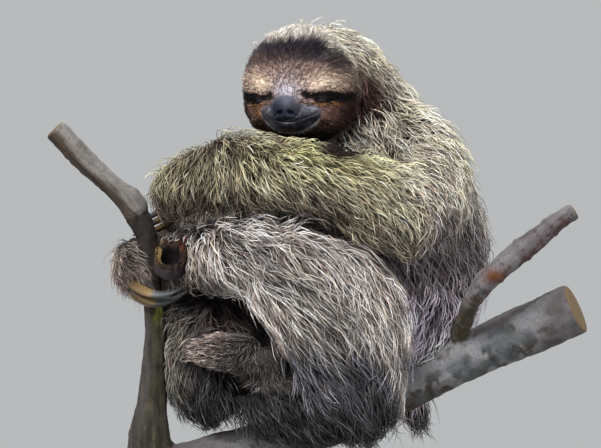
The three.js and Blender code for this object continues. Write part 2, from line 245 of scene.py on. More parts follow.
# a tree of shader nodes; each method adds a node and gives back the output to use
class NodeTree:
    def __init__(self, owner):
        owner.use_nodes = True
        self.nodes, self.links = owner.node_tree.nodes, owner.node_tree.links

    def add(self, kind, **values):
        node = self.nodes.new("ShaderNode" + kind)
        for key, value in values.items():
            setattr(node, key, value)
        return node

    # a socket takes another node's output, a colour or a plain value
    def feed(self, socket, value):
        if isinstance(value, bpy.types.NodeSocket):
            self.links.new(value, socket)
        else:
            socket.default_value = (*value, 1.0) if socket.type == "RGBA" else value

    # the piece's own coordinates
    def spot(self):
        return self.add("TexCoord").outputs["Object"]

    def attribute(self, name, output="Color"):
        return self.add("Attribute", attribute_name=name).outputs[output]

    # a noise texture, pulled long by a mapping when stretch is given
    def noise(self, source, scale, detail=4.0, rough=0.55, stretch=None):
        texture = self.add("TexNoise")
        for socket, value in (("Scale", scale), ("Detail", detail), ("Roughness", rough)):
            self.feed(texture.inputs[socket], value)
        if stretch is not None:
            mapping = self.add("Mapping")
            self.feed(mapping.inputs["Scale"], stretch)
            self.feed(mapping.inputs["Vector"], source)
            source = mapping.outputs["Vector"]
        self.feed(texture.inputs["Vector"], source)
        return texture.outputs["Fac"]

    # distance to the nearest edge of a pattern of cells
    def cellEdges(self, source, scale):
        texture = self.add("TexVoronoi", feature="DISTANCE_TO_EDGE")
        self.feed(texture.inputs["Scale"], scale)
        self.feed(texture.inputs["Vector"], source)
        return texture.outputs["Distance"]

    # a colour ramp with (place, colour or grey) stops
    def ramp(self, source, stops):
        node = self.add("ValToRGB")
        elements = node.color_ramp.elements
        while len(elements) < len(stops):
            elements.new(0.5)
        for element, (place, colour) in zip(elements, stops):
            element.position = place
            element.color = (*colour, 1.0) if np.ndim(colour) else (colour, colour, colour, 1.0)
        self.feed(node.inputs["Fac"], source)
        return node.outputs["Color"]

    # mixes two colours, each an output or a plain value, by an output or a number
    def blend(self, factor, a, b, kind="MIX"):
        node = self.add("Mix", data_type="RGBA", blend_type=kind)
        for number, value in ((0, factor), (6, a), (7, b)):
            self.feed(node.inputs[number], value)
        return node.outputs[2]


# a material made with a dictionary of values; its shader's even ones are set on the shader itself
class Look(NodeTree):
    def __init__(self, name, values, **sockets):
        self.material = bpy.data.materials.new(name)
        super().__init__(self.material)
        self.values, self.shader = values, self.nodes["Principled BSDF"].inputs
        self.set(Roughness=values["roughness"], Specular_IOR_Level=values["specular"], **sockets)

    def set(self, **sockets):
        for socket, value in sockets.items():
            self.feed(self.shader[socket.replace("_", " ")], value)

    def bump(self, height):
        node = self.add("Bump")
        self.feed(node.inputs["Height"], height)
        self.feed(node.inputs["Strength"], self.values["bump"])
        self.feed(node.inputs["Distance"], self.values["bumpDepth"])
        self.set(Normal=node.outputs["Normal"])


# camera, lights and floor

studio = {
    "cameraFrom": (0.0004, -4.0, 0.307), "lens": 272.3, "sensor": 36.0,
    "floorRadius": 1500.0, "floorBelow": 0.6, "floorRings": (0.02, 0.5, 1.0), "floorSpokes": 96,
    "floorColour": (0.40, 0.395, 0.39), "floorPaint": {"roughness": 0.7, "specular": 0.5},
    # the soft room's brightness from straight down, at 0, to straight up, at 1
    "airLevels": ((0.0, 0.16), (0.42, 0.50), (0.62, 0.50), (1.0, 1.30)), "airTint": (0.96, 0.985, 1.0),
    # name: (place, aimed at, size, watts, colour)
    "lights": {
        "key_light": ((-0.7, -1.9, 2.0), (0.0, 0.0, 0.32), 1.3, 112.0, (1.0, 0.985, 0.965)),
        "side_light": ((1.5, -1.4, 1.3), (0.0, 0.0, 0.3), 1.2, 18.0, (0.96, 0.98, 1.0)),
        "back_light": ((0.4, 1.5, 1.9), (0.0, 0.0, 0.3), 0.9, 22.0, (1.0, 1.0, 1.0)),
    },
}


# an object for a camera or lamp, turned from its place towards a target
def placeAimed(name, data, place, target):
    holder = bpy.data.objects.new(name, data)
    bpy.context.scene.collection.objects.link(holder)
    holder.location = place
    away = vec(*place) - vec(*target)
    holder.rotation_euler = (math.atan2(math.hypot(away[0], away[1]), away[2]), 0.0,
                             math.atan2(away[0], -away[1]))
    return holder


def makeCameraAndLights():
    scene = bpy.context.scene
    scene.view_settings.view_transform = "Standard"
    eye = bpy.data.cameras.new("camera")
    eye.lens, eye.sensor_width = studio["lens"], studio["sensor"]
    place = studio["cameraFrom"]
    scene.camera = placeAimed("camera", eye, place, (place[0], 0.0, place[2]))
    for name, (where, target, size, watts, colour) in studio["lights"].items():
        lamp = bpy.data.lights.new(name, "AREA")
        lamp.shape, lamp.size, lamp.energy, lamp.color = "DISK", size, watts, colour
        placeAimed(name, lamp, where, target)


# soft air all round, brightest overhead
def makeAir():
    world = bpy.data.worlds.new("studio_air")
    air = NodeTree(world)
    split, height = air.add("SeparateXYZ"), air.add("MapRange")
    air.feed(height.inputs["From Min"], -1.0)
    air.feed(split.inputs["Vector"], air.add("TexCoord").outputs["Generated"])
    air.feed(height.inputs["Value"], split.outputs["Z"])
    stops = [(at, vec(*studio["airTint"]) * level) for at, level in studio["airLevels"]]
    air.feed(air.nodes["Background"].inputs["Color"], air.ramp(height.outputs["Result"], stops))
    bpy.context.scene.world = world


# a flat disc: rings of radius times circle
def makeFloor():
    look = Look("floor_paint", studio["floorPaint"], Base_Color=studio["floorColour"])
    rings, spokes = studio["floorRings"], studio["floorSpokes"]
    r, t = np.meshgrid(np.array(rings) * studio["floorRadius"], fullTurn(spokes), indexing="ij")
    points = np.stack((r * np.cos(t), r * np.sin(t), np.full_like(r, -studio["floorBelow"])), axis=-1)
    faces = tubeFaces(len(rings), spokes)[:, ::-1]
    makeMesh("studio_floor", points.reshape(-1, 3), faces, look.material, smooth=False)


makeCameraAndLights()
makeAir()
makeFloor()
print("studio ready")


furLook = {"roughness": 0.66, "specular": 0.16, "streakScale": 420.0, "streakDark": 0.80, "streakPale": 1.12,
           # how much of the tip's colour shows at each place along a strand
           "rise": [(0.0, 0.0), (0.30, 0.45), (0.62, 0.90), (1.0, 1.0)]}
skinLook = {"roughness": 0.8, "specular": 0.22, "grainScale": 900.0, "mottle": [(0.35, 0.76), (0.65, 1.16)],
            "dryRough": 0.85, "wetRough": 0.40, "pebbleScale": 950.0, "bump": 0.30, "bumpDepth": 0.0005}


# each strand's own colour, darker towards its root, partly the hair's own colour and partly painted shade
# deep in the coat, with fine streaks
def furMaterial():
    look = Look("sloth_fur", furLook)
    rise = look.ramp(look.attribute("along", "Fac"), furLook["rise"])
    body = look.blend(rise, look.attribute("rootColour"), look.attribute("strandColour"))
    streak = look.noise(look.spot(), furLook["streakScale"], 2.0)
    shade = look.ramp(streak, [(0.3, furLook["streakDark"]), (0.7, furLook["streakPale"])])
    look.set(Base_Color=look.blend(1.0, body, shade, "MULTIPLY"))
    return look.material


# the markings under the coat, with the moist nose and lips smoother than the rest
def skinMaterial():
    look = Look("sloth_skin", skinLook)
    mottle = look.ramp(look.noise(look.spot(), skinLook["grainScale"], 3.0), skinLook["mottle"])
    wet = look.attribute("bare", "Fac")
    look.set(Base_Color=look.blend(1.0, look.attribute("skinColour"), mottle, "MULTIPLY"),
             Roughness=look.ramp(wet, [(0.0, skinLook["dryRough"]), (1.0, skinLook["wetRough"])]))
    look.bump(look.cellEdges(look.spot(), skinLook["pebbleScale"]))
    return look.material


furCoat = furMaterial()
bareSkin = skinMaterial()


# the body's outline as distances

bodyNodes = ("head", "muzzle", "neck", "trunk", "tail", "belly",
             "left_upper_arm", "left_forearm", "left_hand", "right_upper_arm", "right_forearm", "right_hand",
             "left_thigh", "left_shank", "left_foot", "right_thigh", "right_shank", "right_foot")
perchNodes = ("perch_limb", "perch_upright", "perch_upper_branch", "perch_side_branch", "perch_stub")
clawNodes = tuple(f"{limb}_claw_{k}" for limb in ("left_foot", "right_foot", "left_hand", "right_hand")
                  for k in (1, 2, 3))

fleshBox = {
    # low corner, high corner, and the step between values
    "box": ((-200.0, -165.0, 88.0), (215.0, 145.0, 515.0), 2.5), "crackFill": 0.7,
    # how far out and in each distance is measured
    "partBand": (30.0, 45.0), "bodyBand": (40.0, 60.0), "hardBand": (20.0, 20.0),
    "outlineBlur": 1, "depthBlur": 5, "skinBlur": 2,
}
# how deep the skin lies under the coat's tips, in mm
coatDepth = {
    "head": 14.0, "muzzle": 14.0, "neck": 14.0, "trunk": 15.0, "tail": 6.0, "belly": 13.0,
    "left_upper_arm": 13.0, "left_forearm": 12.0, "left_hand": 9.0,
    "right_upper_arm": 12.0, "right_forearm": 11.0, "right_hand": 7.0,
    "left_thigh": 14.0, "left_shank": 11.0, "left_foot": 5.0,
    "right_thigh": 14.0, "right_shank": 14.0, "right_foot": 4.0,
}


# outline: distance to the coat's outside; owner: the nearest part's number; skin: the outline moved
# in by each part's coat depth and smoothed
def measureBody():
    outline = Field(*fleshBox["box"])
    best = np.full(outline.shape, farAway, np.float32)
    owner = np.zeros(outline.shape, np.int16)
    for number, name in enumerate(bodyNodes):
        here = outline.measure(*cadArrays(name), *fleshBox["partBand"])
        owner[here < best] = number
        best = np.minimum(best, here)
    joined = blur(best - fleshBox["crackFill"], fleshBox["outlineBlur"])
    outline.values = outline.measure(*outline.surface(joined), *fleshBox["bodyBand"])
    depth = np.array([coatDepth[name] for name in bodyNodes], np.float32)[owner]
    skin = outline.values + blur(depth, fleshBox["depthBlur"])
    return outline, owner, blur(skin, fleshBox["skinBlur"])


outline, owner, skinValues = measureBody()
hard = Field(*fleshBox["box"])
hard.values = np.minimum(*(hard.measure(*cadArrays(*names), *fleshBox["hardBand"])
                           for names in (perchNodes, clawNodes)))
print("body measured", outline.shape)


def ownersAt(points):
    return outline.nearest(points, owner)


# which of the points belong to the named parts
def belongs(parts, *names):
    return np.isin(parts, [bodyNodes.index(name) for name in names])


# the head

head = {
    "centre": vec(1.5, -46.0, 426.5), "yaw": 14.5, "nod": 10.0,
    "side": 53.0, "top": 56.5, "chin": 49.0, "front": 47.0, "back": 56.0, "jaw": 0.5,
    "muzzleReach": 17.0, "muzzleAim": (0.0, -18.0, 60.0), "muzzleSpread": 0.42,
    "faceDepth": 2.6, "crownDepth": 9.0, "rings": 156, "spokes": 240, "ringShares": (0.36, 0.64),
    "padCentre": (-1.2, -9.2), "padHalf": (13.2, 10.2), "padSides": 2.4, "nostrilOut": 5.0,
    "nostrilHeight": -13.8, "nostrilHalf": (2.5, 1.5), "nostrilDepth": 4.6, "mouthLow": -22.8,
    "mouthRise": 6.4, "mouthHalf": 24.0, "eyeSide": 26.0, "eyeHeight": -5.2, "eyeFace": 35.5,
    "eyeRadius": 5.5, "lid": 1.4, "slitHalf": 8.8, "slitGap": 0.42, "slitDrop": 0.08, "slitCurve": 0.014,
    "slitFloor": 2.4,
    # height in mm, whether on both sides, and the centre and half widths
    "rises": (
        (2.0, True, (27.0, 9.0, 13.0, 6.5)), (2.0, True, (31.0, -18.0, 12.0, 9.0)),
        (1.4, False, (0.0, 8.0, 9.0, 12.0)), (-1.6, True, (15.0, -2.0, 5.0, 8.0)),
        (-2.6, True, (30.0, -4.0, 17.0, 5.0)), (-1.2, True, (21.0, -24.0, 9.0, 6.0)),
    ),
    "lipReach": 34.0, "lipMiddle": 17.0, "lipFlat": 1.5, "upperLip": (9.5, -18.0, 8.0, 4.0),
    "upperLipRise": 1.0, "lowerLip": (0.0, -27.5, 17.0, 4.5), "lowerLipRise": 1.1, "lipSwell": 1.2,
    "lineDepth": 1.5, "lineHalf": 0.8, "cornerDepth": 0.9, "cornerHalf": (2.4, 2.0), "philtrumDepth": 0.8,
    "padEdgeDepth": 0.7,
    # height over the slit and depth of each lid's creases
    "creases": ((3.6, 0.9), (-3.4, 0.9), (-6.6, 0.6)), "creaseHalf": 0.7,
}
yaw, nod = math.radians(head["yaw"]), math.radians(head["nod"])
faceward = vec(-math.sin(yaw) * math.cos(nod), -math.cos(yaw) * math.cos(nod), -math.sin(nod))
leftward = unit(np.cross((0.0, 0.0, 1.0), faceward))
headAxes = np.stack((leftward, np.cross(faceward, leftward), faceward))  # rows: side, up, face


def toHead(points):
    return (points - head["centre"]) @ headAxes.T


# the closed lips' line: lowest in the middle, rising to both corners
def mouthHeight(side):
    share = np.clip(np.abs(side - 1.0) / head["mouthHalf"], 0.0, 1.2)
    return head["mouthLow"] + head["mouthRise"] * share ** 1.8


# 1 inside the nose pad, 0 outside: a rounded oblong, wider above than below
def padShape(side, up):
    (cx, cy), (hx, hy), power = head["padCentre"], head["padHalf"], head["padSides"]
    wide = hx * (1.0 + 0.10 * (up - cy) / hy)
    edge = (np.abs((side - cx) / wide) ** power + np.abs((up - cy) / hy) ** power) ** (1 / power)
    return 1.0 - ramp(edge, 0.66, 1.22), edge


# height above the slit between the lids, which dips at its outer end, and the place along it
def slitPlace(side, up, way):
    x = (side - way * head["eyeSide"]) * way
    return x, up - head["eyeHeight"] + head["slitDrop"] * x + head["slitCurve"] * x * x


# egg plus a bell-shaped muzzle, in mm along each direction from the head's centre; the egg is a
# superellipsoid whose power grows below the eyes
def headReach(direction):
    s, u, f = direction.T
    shares = np.abs(np.stack((s / head["side"], u / np.where(u > 0.0, head["top"], head["chin"]),
                              f / np.where(f > 0.0, head["front"], head["back"]))))
    power = 2.0 + head["jaw"] * np.clip(-2.0 * u, 0.0, 1.0)
    egg = (shares ** power).sum(0) ** (-1.0 / power)
    angle = np.arccos(np.clip(direction @ unit(vec(*head["muzzleAim"])), -1.0, 1.0))
    return egg + head["muzzleReach"] * np.exp(-(angle / head["muzzleSpread"]) ** 2), angle


# unit rays from the head's centre: rings of growing angle about the nose times spokes round it,
# the rings closer together at the nose; the rays along and against the nose come last
def headRays():
    aimed = unit(vec(*head["muzzleAim"]))
    acrossA = unit(np.cross(aimed, (1.0, 0.0, 0.0)))
    acrossB = np.cross(aimed, acrossA)
    steps = np.linspace(0.0, 1.0, head["rings"] + 2)[1:-1]
    even, nearer = head["ringShares"]
    angles = math.pi * (even * steps + nearer * steps ** 3.0)
    a, b = np.meshgrid(angles, fullTurn(head["spokes"]), indexing="ij")
    a, b = a.ravel()[:, None], b.ravel()[:, None]
    direction = np.cos(a) * aimed + np.sin(a) * (np.cos(b) * acrossA + np.sin(b) * acrossB)
    return np.concatenate((direction, (aimed, -aimed)))


# the reach with lips swollen either side of the middle and parted by the mouth's line, and with the
# nose pad, its lower edge and the nostrils; depth is the coat's, which the pad fills
def addMuzzle(reach, s, u, front, depth):
    wide = np.abs(s)
    pad, edge = padShape(s, u)
    lips = ramp(head["lipReach"] - np.hypot(s, (u + head["lipMiddle"]) * head["lipFlat"]), 0.0, 8.0) * front
    reach = reach + lips * (head["upperLipRise"] * hill(wide, u, *head["upperLip"])
                            + head["lowerLipRise"] * hill(s, u, *head["lowerLip"]))
    line, half = mouthHeight(s), head["lineHalf"]
    inMouth = ramp(head["mouthHalf"] + 2.0 - wide, 0.0, 4.0) * front
    reach -= head["lineDepth"] * np.exp(-((u - line) / half) ** 2) * inMouth
    reach -= head["cornerDepth"] * hill(wide, u, head["mouthHalf"], line, *head["cornerHalf"]) * front
    philtrum = head["philtrumDepth"] * np.exp(-(s / half) ** 2)
    reach -= philtrum * ramp(-u, 15.5, 17.5) * ramp(u - line, -0.2, 1.5) * front
    padEdge = head["padEdgeDepth"] * np.exp(-((edge - 1.12) / 0.07) ** 2) * ramp(-u, 8.0, 13.0)
    reach += front * (pad * (depth - 1.0) + head["lipSwell"] * lips - padEdge)
    halfX, halfY = head["nostrilHalf"]
    for way in (-1.0, 1.0):
        x = s - way * head["nostrilOut"]
        y = u - head["nostrilHeight"] + 0.30 * way * x
        reach -= front * head["nostrilDepth"] * np.exp(-(x / halfX) ** 4 - (y / halfY) ** 2)
        # the nostril's slit, running outwards and down
        reach -= front * 1.1 * hill(x * way, y, 3.4, -1.6, 2.0, 0.8)
    return reach


# the reach with lids: a ball just larger than the eye, parted by the slit and creased above and below
def addLids(reach, direction, s, u, front):
    for way in (-1.0, 1.0):
        eye = vec(way * head["eyeSide"], head["eyeHeight"], head["eyeFace"])
        ahead = direction @ eye
        lidBall = (head["eyeRadius"] + head["lid"]) ** 2 - eye @ eye + ahead ** 2
        lidReach = ahead + np.sqrt(np.maximum(lidBall, 0.0))
        onLid = (lidBall > 0.0) & (ahead > 0.0)
        reach = reach + np.where(onLid, np.maximum(lidReach - reach, 0.0), 0.0) * 0.9
        x, y = slitPlace(s, u, way)
        gap = head["slitGap"] * np.clip(1.0 - (x / head["slitHalf"]) ** 2, 0.0, 1.0)
        cut = ramp(gap - np.abs(y), -0.5, 0.2) * (gap > 0.0) * front
        reach = mix(reach, np.minimum(reach, np.linalg.norm(eye) + head["slitFloor"]), cut)
        for height, deep in head["creases"]:
            crease = np.exp(-((y - height * (1.0 - (x / 13.0) ** 2 * 0.6)) / head["creaseHalf"]) ** 2)
            reach -= deep * crease * ramp(12.0 - np.abs(x), 0.0, 5.0) * front
    return reach


# each ray's reach is the head's outline less the coat, with the features raised or cut along it
def headSkin():
    direction = headRays()
    reach, angle = headReach(direction)
    depth = mix(head["faceDepth"], head["crownDepth"], ramp(angle, 0.95, 1.75))
    s, u, f = (direction * reach[:, None]).T
    front = ramp(f, 5.0, 20.0)
    reach = reach - depth
    rises = (high * hill(np.abs(s) if paired else s, u, *place) for high, paired, place in head["rises"])
    reach += front * sum(rises)
    reach = addMuzzle(reach, s, u, front, depth)
    reach = addLids(reach, direction, s, u, front)
    points = (direction * reach[:, None]) @ headAxes + head["centre"]
    return points, facesOutward(points, closedFaces(head["rings"], head["spokes"]))


# markings, shared by skin and coat

paint = {
    "crown": srgb(214, 206, 195), "nape": srgb(190, 182, 158), "brow": srgb(44, 37, 46),
    "browBrown": srgb(96, 76, 66), "mauve": srgb(147, 121, 113), "patch": srgb(225, 201, 179),
    # bridgeLowAndSheen: pale lilac above the nose pad, partly its colour and partly a painted sheen
    "bridge": srgb(161, 148, 148), "bridgeLowAndSheen": srgb(177, 173, 184), "stripe": srgb(14, 10, 10),
    "lid": srgb(125, 87, 48), "pad": srgb(13, 17, 29), "lip": srgb(18, 19, 28), "lipPale": srgb(61, 64, 79),
    "rim": srgb(143, 141, 143), "cheekRight": srgb(119, 84, 59), "cheekLeft": srgb(107, 78, 69),
    # chin: near-black, a painted shadow under the chin and in the hollow under the cheek
    "cheekDark": srgb(57, 39, 32), "chin": srgb(25, 17, 13), "sideHair": srgb(70, 48, 45),
    "shoulder": srgb(193, 187, 172), "olive": srgb(192, 186, 156), "moss": srgb(236, 234, 166),
    # armLeftShade: the arm's olive darkened, a painted shade
    "armBrown": srgb(87, 74, 68), "armLeftShade": srgb(143, 137, 112), "mauveGrey": srgb(145, 136, 139),
    # knee: pale, brightened further as painted light
    "lilac": srgb(239, 229, 248), "knee": srgb(252, 242, 238), "thigh": srgb(211, 202, 194),
    # slate and under: darker, bluer tones laid low down, partly as painted shade
    "legPale": srgb(163, 159, 153), "slate": srgb(90, 92, 104), "under": srgb(66, 69, 70),
    "belly": srgb(80, 76, 77), "fringe": srgb(139, 135, 124), "brownBelly": srgb(88, 72, 64),
    # hiddenShade: a painted shadow where parts lie behind or under others
    "hiddenShade": srgb(43, 38, 37), "tail": srgb(138, 138, 137), "footPink": srgb(179, 163, 154),
    # root and rootSlate: dark roots, partly the undercoat's own colour and partly painted shade in the coat's
    # gaps
    "footBrown": srgb(100, 94, 90), "leftFoot": srgb(143, 131, 122), "root": srgb(43, 33, 31),
    "rootSlate": srgb(31, 29, 34),
}
# lines on the face, in mm to its left and up: the points, and half the width of the stripes
browLines = ([(-52, 24), (-34, 32), (-4, 36), (18, 36)], [(16, 35), (34, 29), (48, 15)])
stripeLines = (
    ([(-53, -3.6), (-36, -4.4), (-22, -3.6), (-14, -0.6)], 2.8), ([(-50, -4.8), (-30, -4.8)], 4.6),
    ([(12, 2.0), (19, -1.4), (34, -4.2), (50, -5.4), (58, -10.0)], 2.6), ([(25, -3.6), (45, -5.4)], 4.6),
)
lidLines = ([(-44, -10.8), (-30, -10.8), (-18, -7.6)], [(19, -7.8), (30, -10.0), (42, -10.8)])
# lines down the left leg, seen from the front
paleLocks = [(-60, 286), (-20, 262), (20, 235), (40, 215)]
# the leg's fold, where a painted shadow lies
foldShadow = [(-9, 205), (40, 190), (80, 150)]
outerLocks = [(76, 196), (90, 165), (97, 130)]


# 1 within half of a chain of points in a plane, fading over soft
def nearLine(s, u, points, half, soft):
    best = np.full(len(s), farAway)
    for (x0, y0), (x1, y1) in zip(points[:-1], points[1:]):
        dx, dy = x1 - x0, y1 - y0
        t = np.clip(((s - x0) * dx + (u - y0) * dy) / (dx * dx + dy * dy), 0.0, 1.0)
        best = np.minimum(best, np.hypot(s - x0 - t * dx, u - y0 - t * dy))
    return 1.0 - ramp(best, half - soft * 0.5, half + soft * 0.5)


# the bare slate patch round the mouth: between a deep curve under the chin and a flat one at the pad
def lipPatch(s, u):
    x = np.clip(np.abs(s - 1.5) / 27.5, 0.0, 1.1)
    low, high = -31.8 + 14.6 * x ** 2.4, -6.0 - 8.5 * x ** 3.0
    inside = ramp(u, low - 1.2, low + 1.0) * ramp(-u, -high - 2.5, -high + 2.5) * ramp(-x, -1.02, -0.90)
    rim = np.exp(-((u - low + 1.7) / 1.2) ** 2) * ramp(-x, -1.0, -0.8)
    return inside, rim


# the body's colour at each place, from the part it belongs to; wobble makes the borders ragged
def bodyColours(points, parts, wobble):
    x, y, z = points.T
    ragged = wobble * 3
    patchy = ramp(softNoise(points, 24.0, 6), -0.2, 0.5)
    arm = belongs(parts, "left_forearm", "left_hand")
    upper = belongs(parts, "left_upper_arm")
    leg = belongs(parts, "left_thigh", "left_shank")
    low = belongs(parts, "right_shank", "right_thigh", "belly", "tail")
    foot = belongs(parts, "right_foot")
    near = belongs(parts, "neck", "left_upper_arm")
    armFoot = ramp(-z + wobble * 2 - 0.45 * (x - 60.0), -324.0, -294.0) * ramp(x, 40.0, 70.0)
    besideFace = hill(x, z, 57.0, 412.0, 23.0, 33.0) + hill(x, z, 48.0, 392.0, 13.0, 14.0)
    tip = layOver(np.repeat(paint["mauveGrey"][None], len(points), 0), paint, (
        ("lilac", ramp(260.0 - z + ragged, 0.0, 40.0) * 0.8),
        ("shoulder", ramp(z + wobble * 4, 278.0, 346.0)),
        ("olive", ramp(z + ragged, 320.0, 380.0) * patchy * 0.7),
        # the left arm is green and mossy on top, brown below and at the elbow, partly its colour and partly
        # painted shade under the arm and in the crease
        ("olive", arm * 0.95),
        ("moss", (arm + upper * 0.6) * hill(x, z, 30.0, 364.0, 55.0, 17.0) * mix(0.5, 1.0, patchy)),
        ("shoulder", arm * ramp(x + ragged, 62.0, 95.0) * 0.5),
        # painted shade over the arm's left end
        ("armLeftShade", arm * ramp(-x + ragged, 55.0, 95.0)),
        # brown below and at the elbow: partly painted shade
        ("armBrown", arm * ramp(-z + wobble * 2, -346.0, -320.0) * ramp(70.0 - x, 0.0, 50.0) * 0.85),
        ("armBrown", (arm + upper) * armFoot * 0.7),
        # the left leg is pale along the knee and its long locks, slate low down, partly as painted shade,
        # with a painted shadow along its fold
        ("thigh", leg),
        # the knee's pale colour, brightened as painted light where the arm's shadow falls
        ("knee", leg * ramp(-x, 20.0, 55.0) * ramp(z, 262.0, 286.0) * 0.95),
        ("leftFoot", leg * hill(x, z, -96.0, 276.0, 24.0, 26.0) * 0.9),
        ("legPale", leg * nearLine(x, z, paleLocks, 16.0, 18.0) * 0.9),
        # slate low down: partly painted shade
        ("slate", leg * ramp(-z + ragged, -215.0, -185.0) * 0.9),
        # painted shadow along the fold
        ("under", leg * nearLine(x, z, foldShadow, 10.0, 18.0) * 0.5),
        # painted shadow on the left leg's far side, low down
        ("hiddenShade", leg * ramp(-x, 60.0, 80.0) * ramp(-z, -264.0, -250.0) * 0.85),
        # the right leg and what hangs under the body are darker and bluer, partly their colour and partly
        # painted shade under the body
        ("belly", low),
        ("fringe", low * ramp(-x + wobble, 84.0, 104.0) * ramp(232.0 - z, 0.0, 14.0) * 0.9),
        # painted shadow on the right leg and belly where they reach up behind the left leg
        ("hiddenShade", low * ramp(z, 226.0, 240.0)),
        ("brownBelly", low * hill(x, z, -62.0, 222.0, 26.0, 12.0) * (y < -10.0) * 0.8),
        # darker towards the bottom: painted shade under the body
        ("under", (leg + low) * ramp(-z + ragged, -176.0, -140.0) * 0.85),
        ("thigh", leg * nearLine(x, z, outerLocks, 6.0, 12.0) * 0.8),
        ("tail", belongs(parts, "tail") * 0.9),
        ("footPink", foot),
        ("footBrown", foot * ramp(x + wobble * 2 - 0.5 * (z - 195.0), -90.0, -62.0)),
        ("leftFoot", belongs(parts, "left_foot") * 0.95),
        # long brown hair hangs beside the face, with a painted shadow in the hollow under the cheek
        ("sideHair", near * besideFace * ramp(-y, 10.0, 30.0) * 1.4),
        # painted shadow in the hollow under the cheek
        ("chin", (near + arm) * hill(x, z, 38.0, 380.0, 16.0, 14.0) * 3.0),
    ))
    # dark roots, partly their own colour and partly painted shade in the coat's gaps, darker and bluer
    # towards the bottom as painted shade
    root = mix(paint["root"], paint["rootSlate"], ramp(-z + ragged, -290.0, -190.0)[:, None])
    return tip, root


# the face's colours in the head's own frame: s to the animal's left, u up, f forward
def faceColours(spot, wobble):
    fine = softNoise(spot, 3.2, 7)
    s, u, f = spot[:, 0] + wobble * 0.25, spot[:, 1] + wobble * 0.25 + fine, spot[:, 2]
    front = ramp(f, 2.0, 14.0)
    eyePatches = hill(s, u, -30.0, 8.0, 14.0, 10.0) + hill(s, u, 32.0, 8.5, 19.0, 9.0)
    beside = ramp(s - mix(49.0, 38.0, ramp(-u, 0.0, 12.0)), -4.0, 4.0) * ramp(24.0 - u, 0.0, 10.0)
    face = layOver(np.repeat(paint["crown"][None], len(spot), 0), paint, (
        ("nape", 1.0 - ramp(f - 0.5 * (s - 20.0), -30.0, 12.0)),
        ("mauve", front * (1.0 - ramp(u, 24.0, 30.0))),
        ("brow", front * nearLine(s, u, browLines[0], 9.5, 6.0)),
        ("brow", front * nearLine(s, u, browLines[1], 6.5, 6.0) * 0.9),
        ("browBrown", front * hill(s, u, -14.0, 28.0, 30.0, 5.0) * 0.6),
        ("patch", front * 1.15 * eyePatches),
        ("bridge", front * 1.1 * hill(s + fine, u, 0.0, 7.0, 13.0, 13.0)),
        # pale lilac just above the pad, partly its colour and partly a painted sheen
        ("bridgeLowAndSheen", front * hill(s, u, 0.0, 2.0, 13.0, 6.0) * 0.9),
        ("cheekDark", front * (ramp(-u - 0.5 * np.abs(s - 2.0), 4.0, 10.0))),
        ("cheekRight", front * 1.1 * hill(s, u, -31.0, -16.0, 7.0, 9.0)),
        ("cheekLeft", front * 1.1 * hill(s, u, 35.0, -17.0, 11.0, 12.0)),
        ("cheekDark", front * ramp(-s, 38.0, 46.0) * ramp(-u, 6.0, 12.0)),
        # painted shadow under the chin
        ("chin", front * ramp(-u, 32.0, 37.0)),
        ("sideHair", beside),
        *(("stripe", front * nearLine(s, u, path, half, 2.0) * ramp(np.abs(s), 10.5, 14.0) * 1.1)
          for path, half in stripeLines),
        *(("lid", front * nearLine(s, u, path, 1.0, 1.2) * 0.9) for path in lidLines),
    ))
    # the bare muzzle keeps a clean edge, so its places aren't wobbled
    s, u = spot[:, 0], spot[:, 1]
    patch, rim = lipPatch(s, u)
    whiskers = hill(np.abs(s - 1.5), u, 21.0, -11.0, 7.5, 4.5)
    pad = padShape(s, u)[0]
    face = layOver(face, paint, (
        ("rim", rim * front * 0.9),
        ("lip", patch * front),
        ("lipPale", patch * front * ramp(softNoise(spot, 3.0, 8), 0.0, 0.8) * 0.35),
        ("lipPale", patch * front * whiskers),
        ("bridgeLowAndSheen", patch * front * whiskers * 0.3),
        ("pad", pad * front),
        # the pad's top paler where it meets the bridge, partly a painted sheen
        ("lipPale", pad * front * hill(s, u, 0.0, 1.0, 15.0, 6.0) * 1.3),
    ))
    return face, np.maximum(patch * (1.0 - 0.7 * whiskers), pad * ramp(-u + fine, -3.0, 5.0)) * front


# tip and root colours, and how bare the skin is, from the place and the part it belongs to
def markings(points, parts):
    wobble = softNoise(points, 14.0, 5) * 3.0
    tip, root = bodyColours(points, parts, wobble)
    face, bare = faceColours(toHead(points), wobble)
    onHead = belongs(parts, "head", "muzzle")
    tip = np.where(onHead[:, None], face, tip)
    # the face's roots: its colours darkened, partly as painted shade in the coat
    root = np.where(onHead[:, None], mix(face * 0.55, paint["root"], 0.35), root)
    return tip, root, bare * onHead


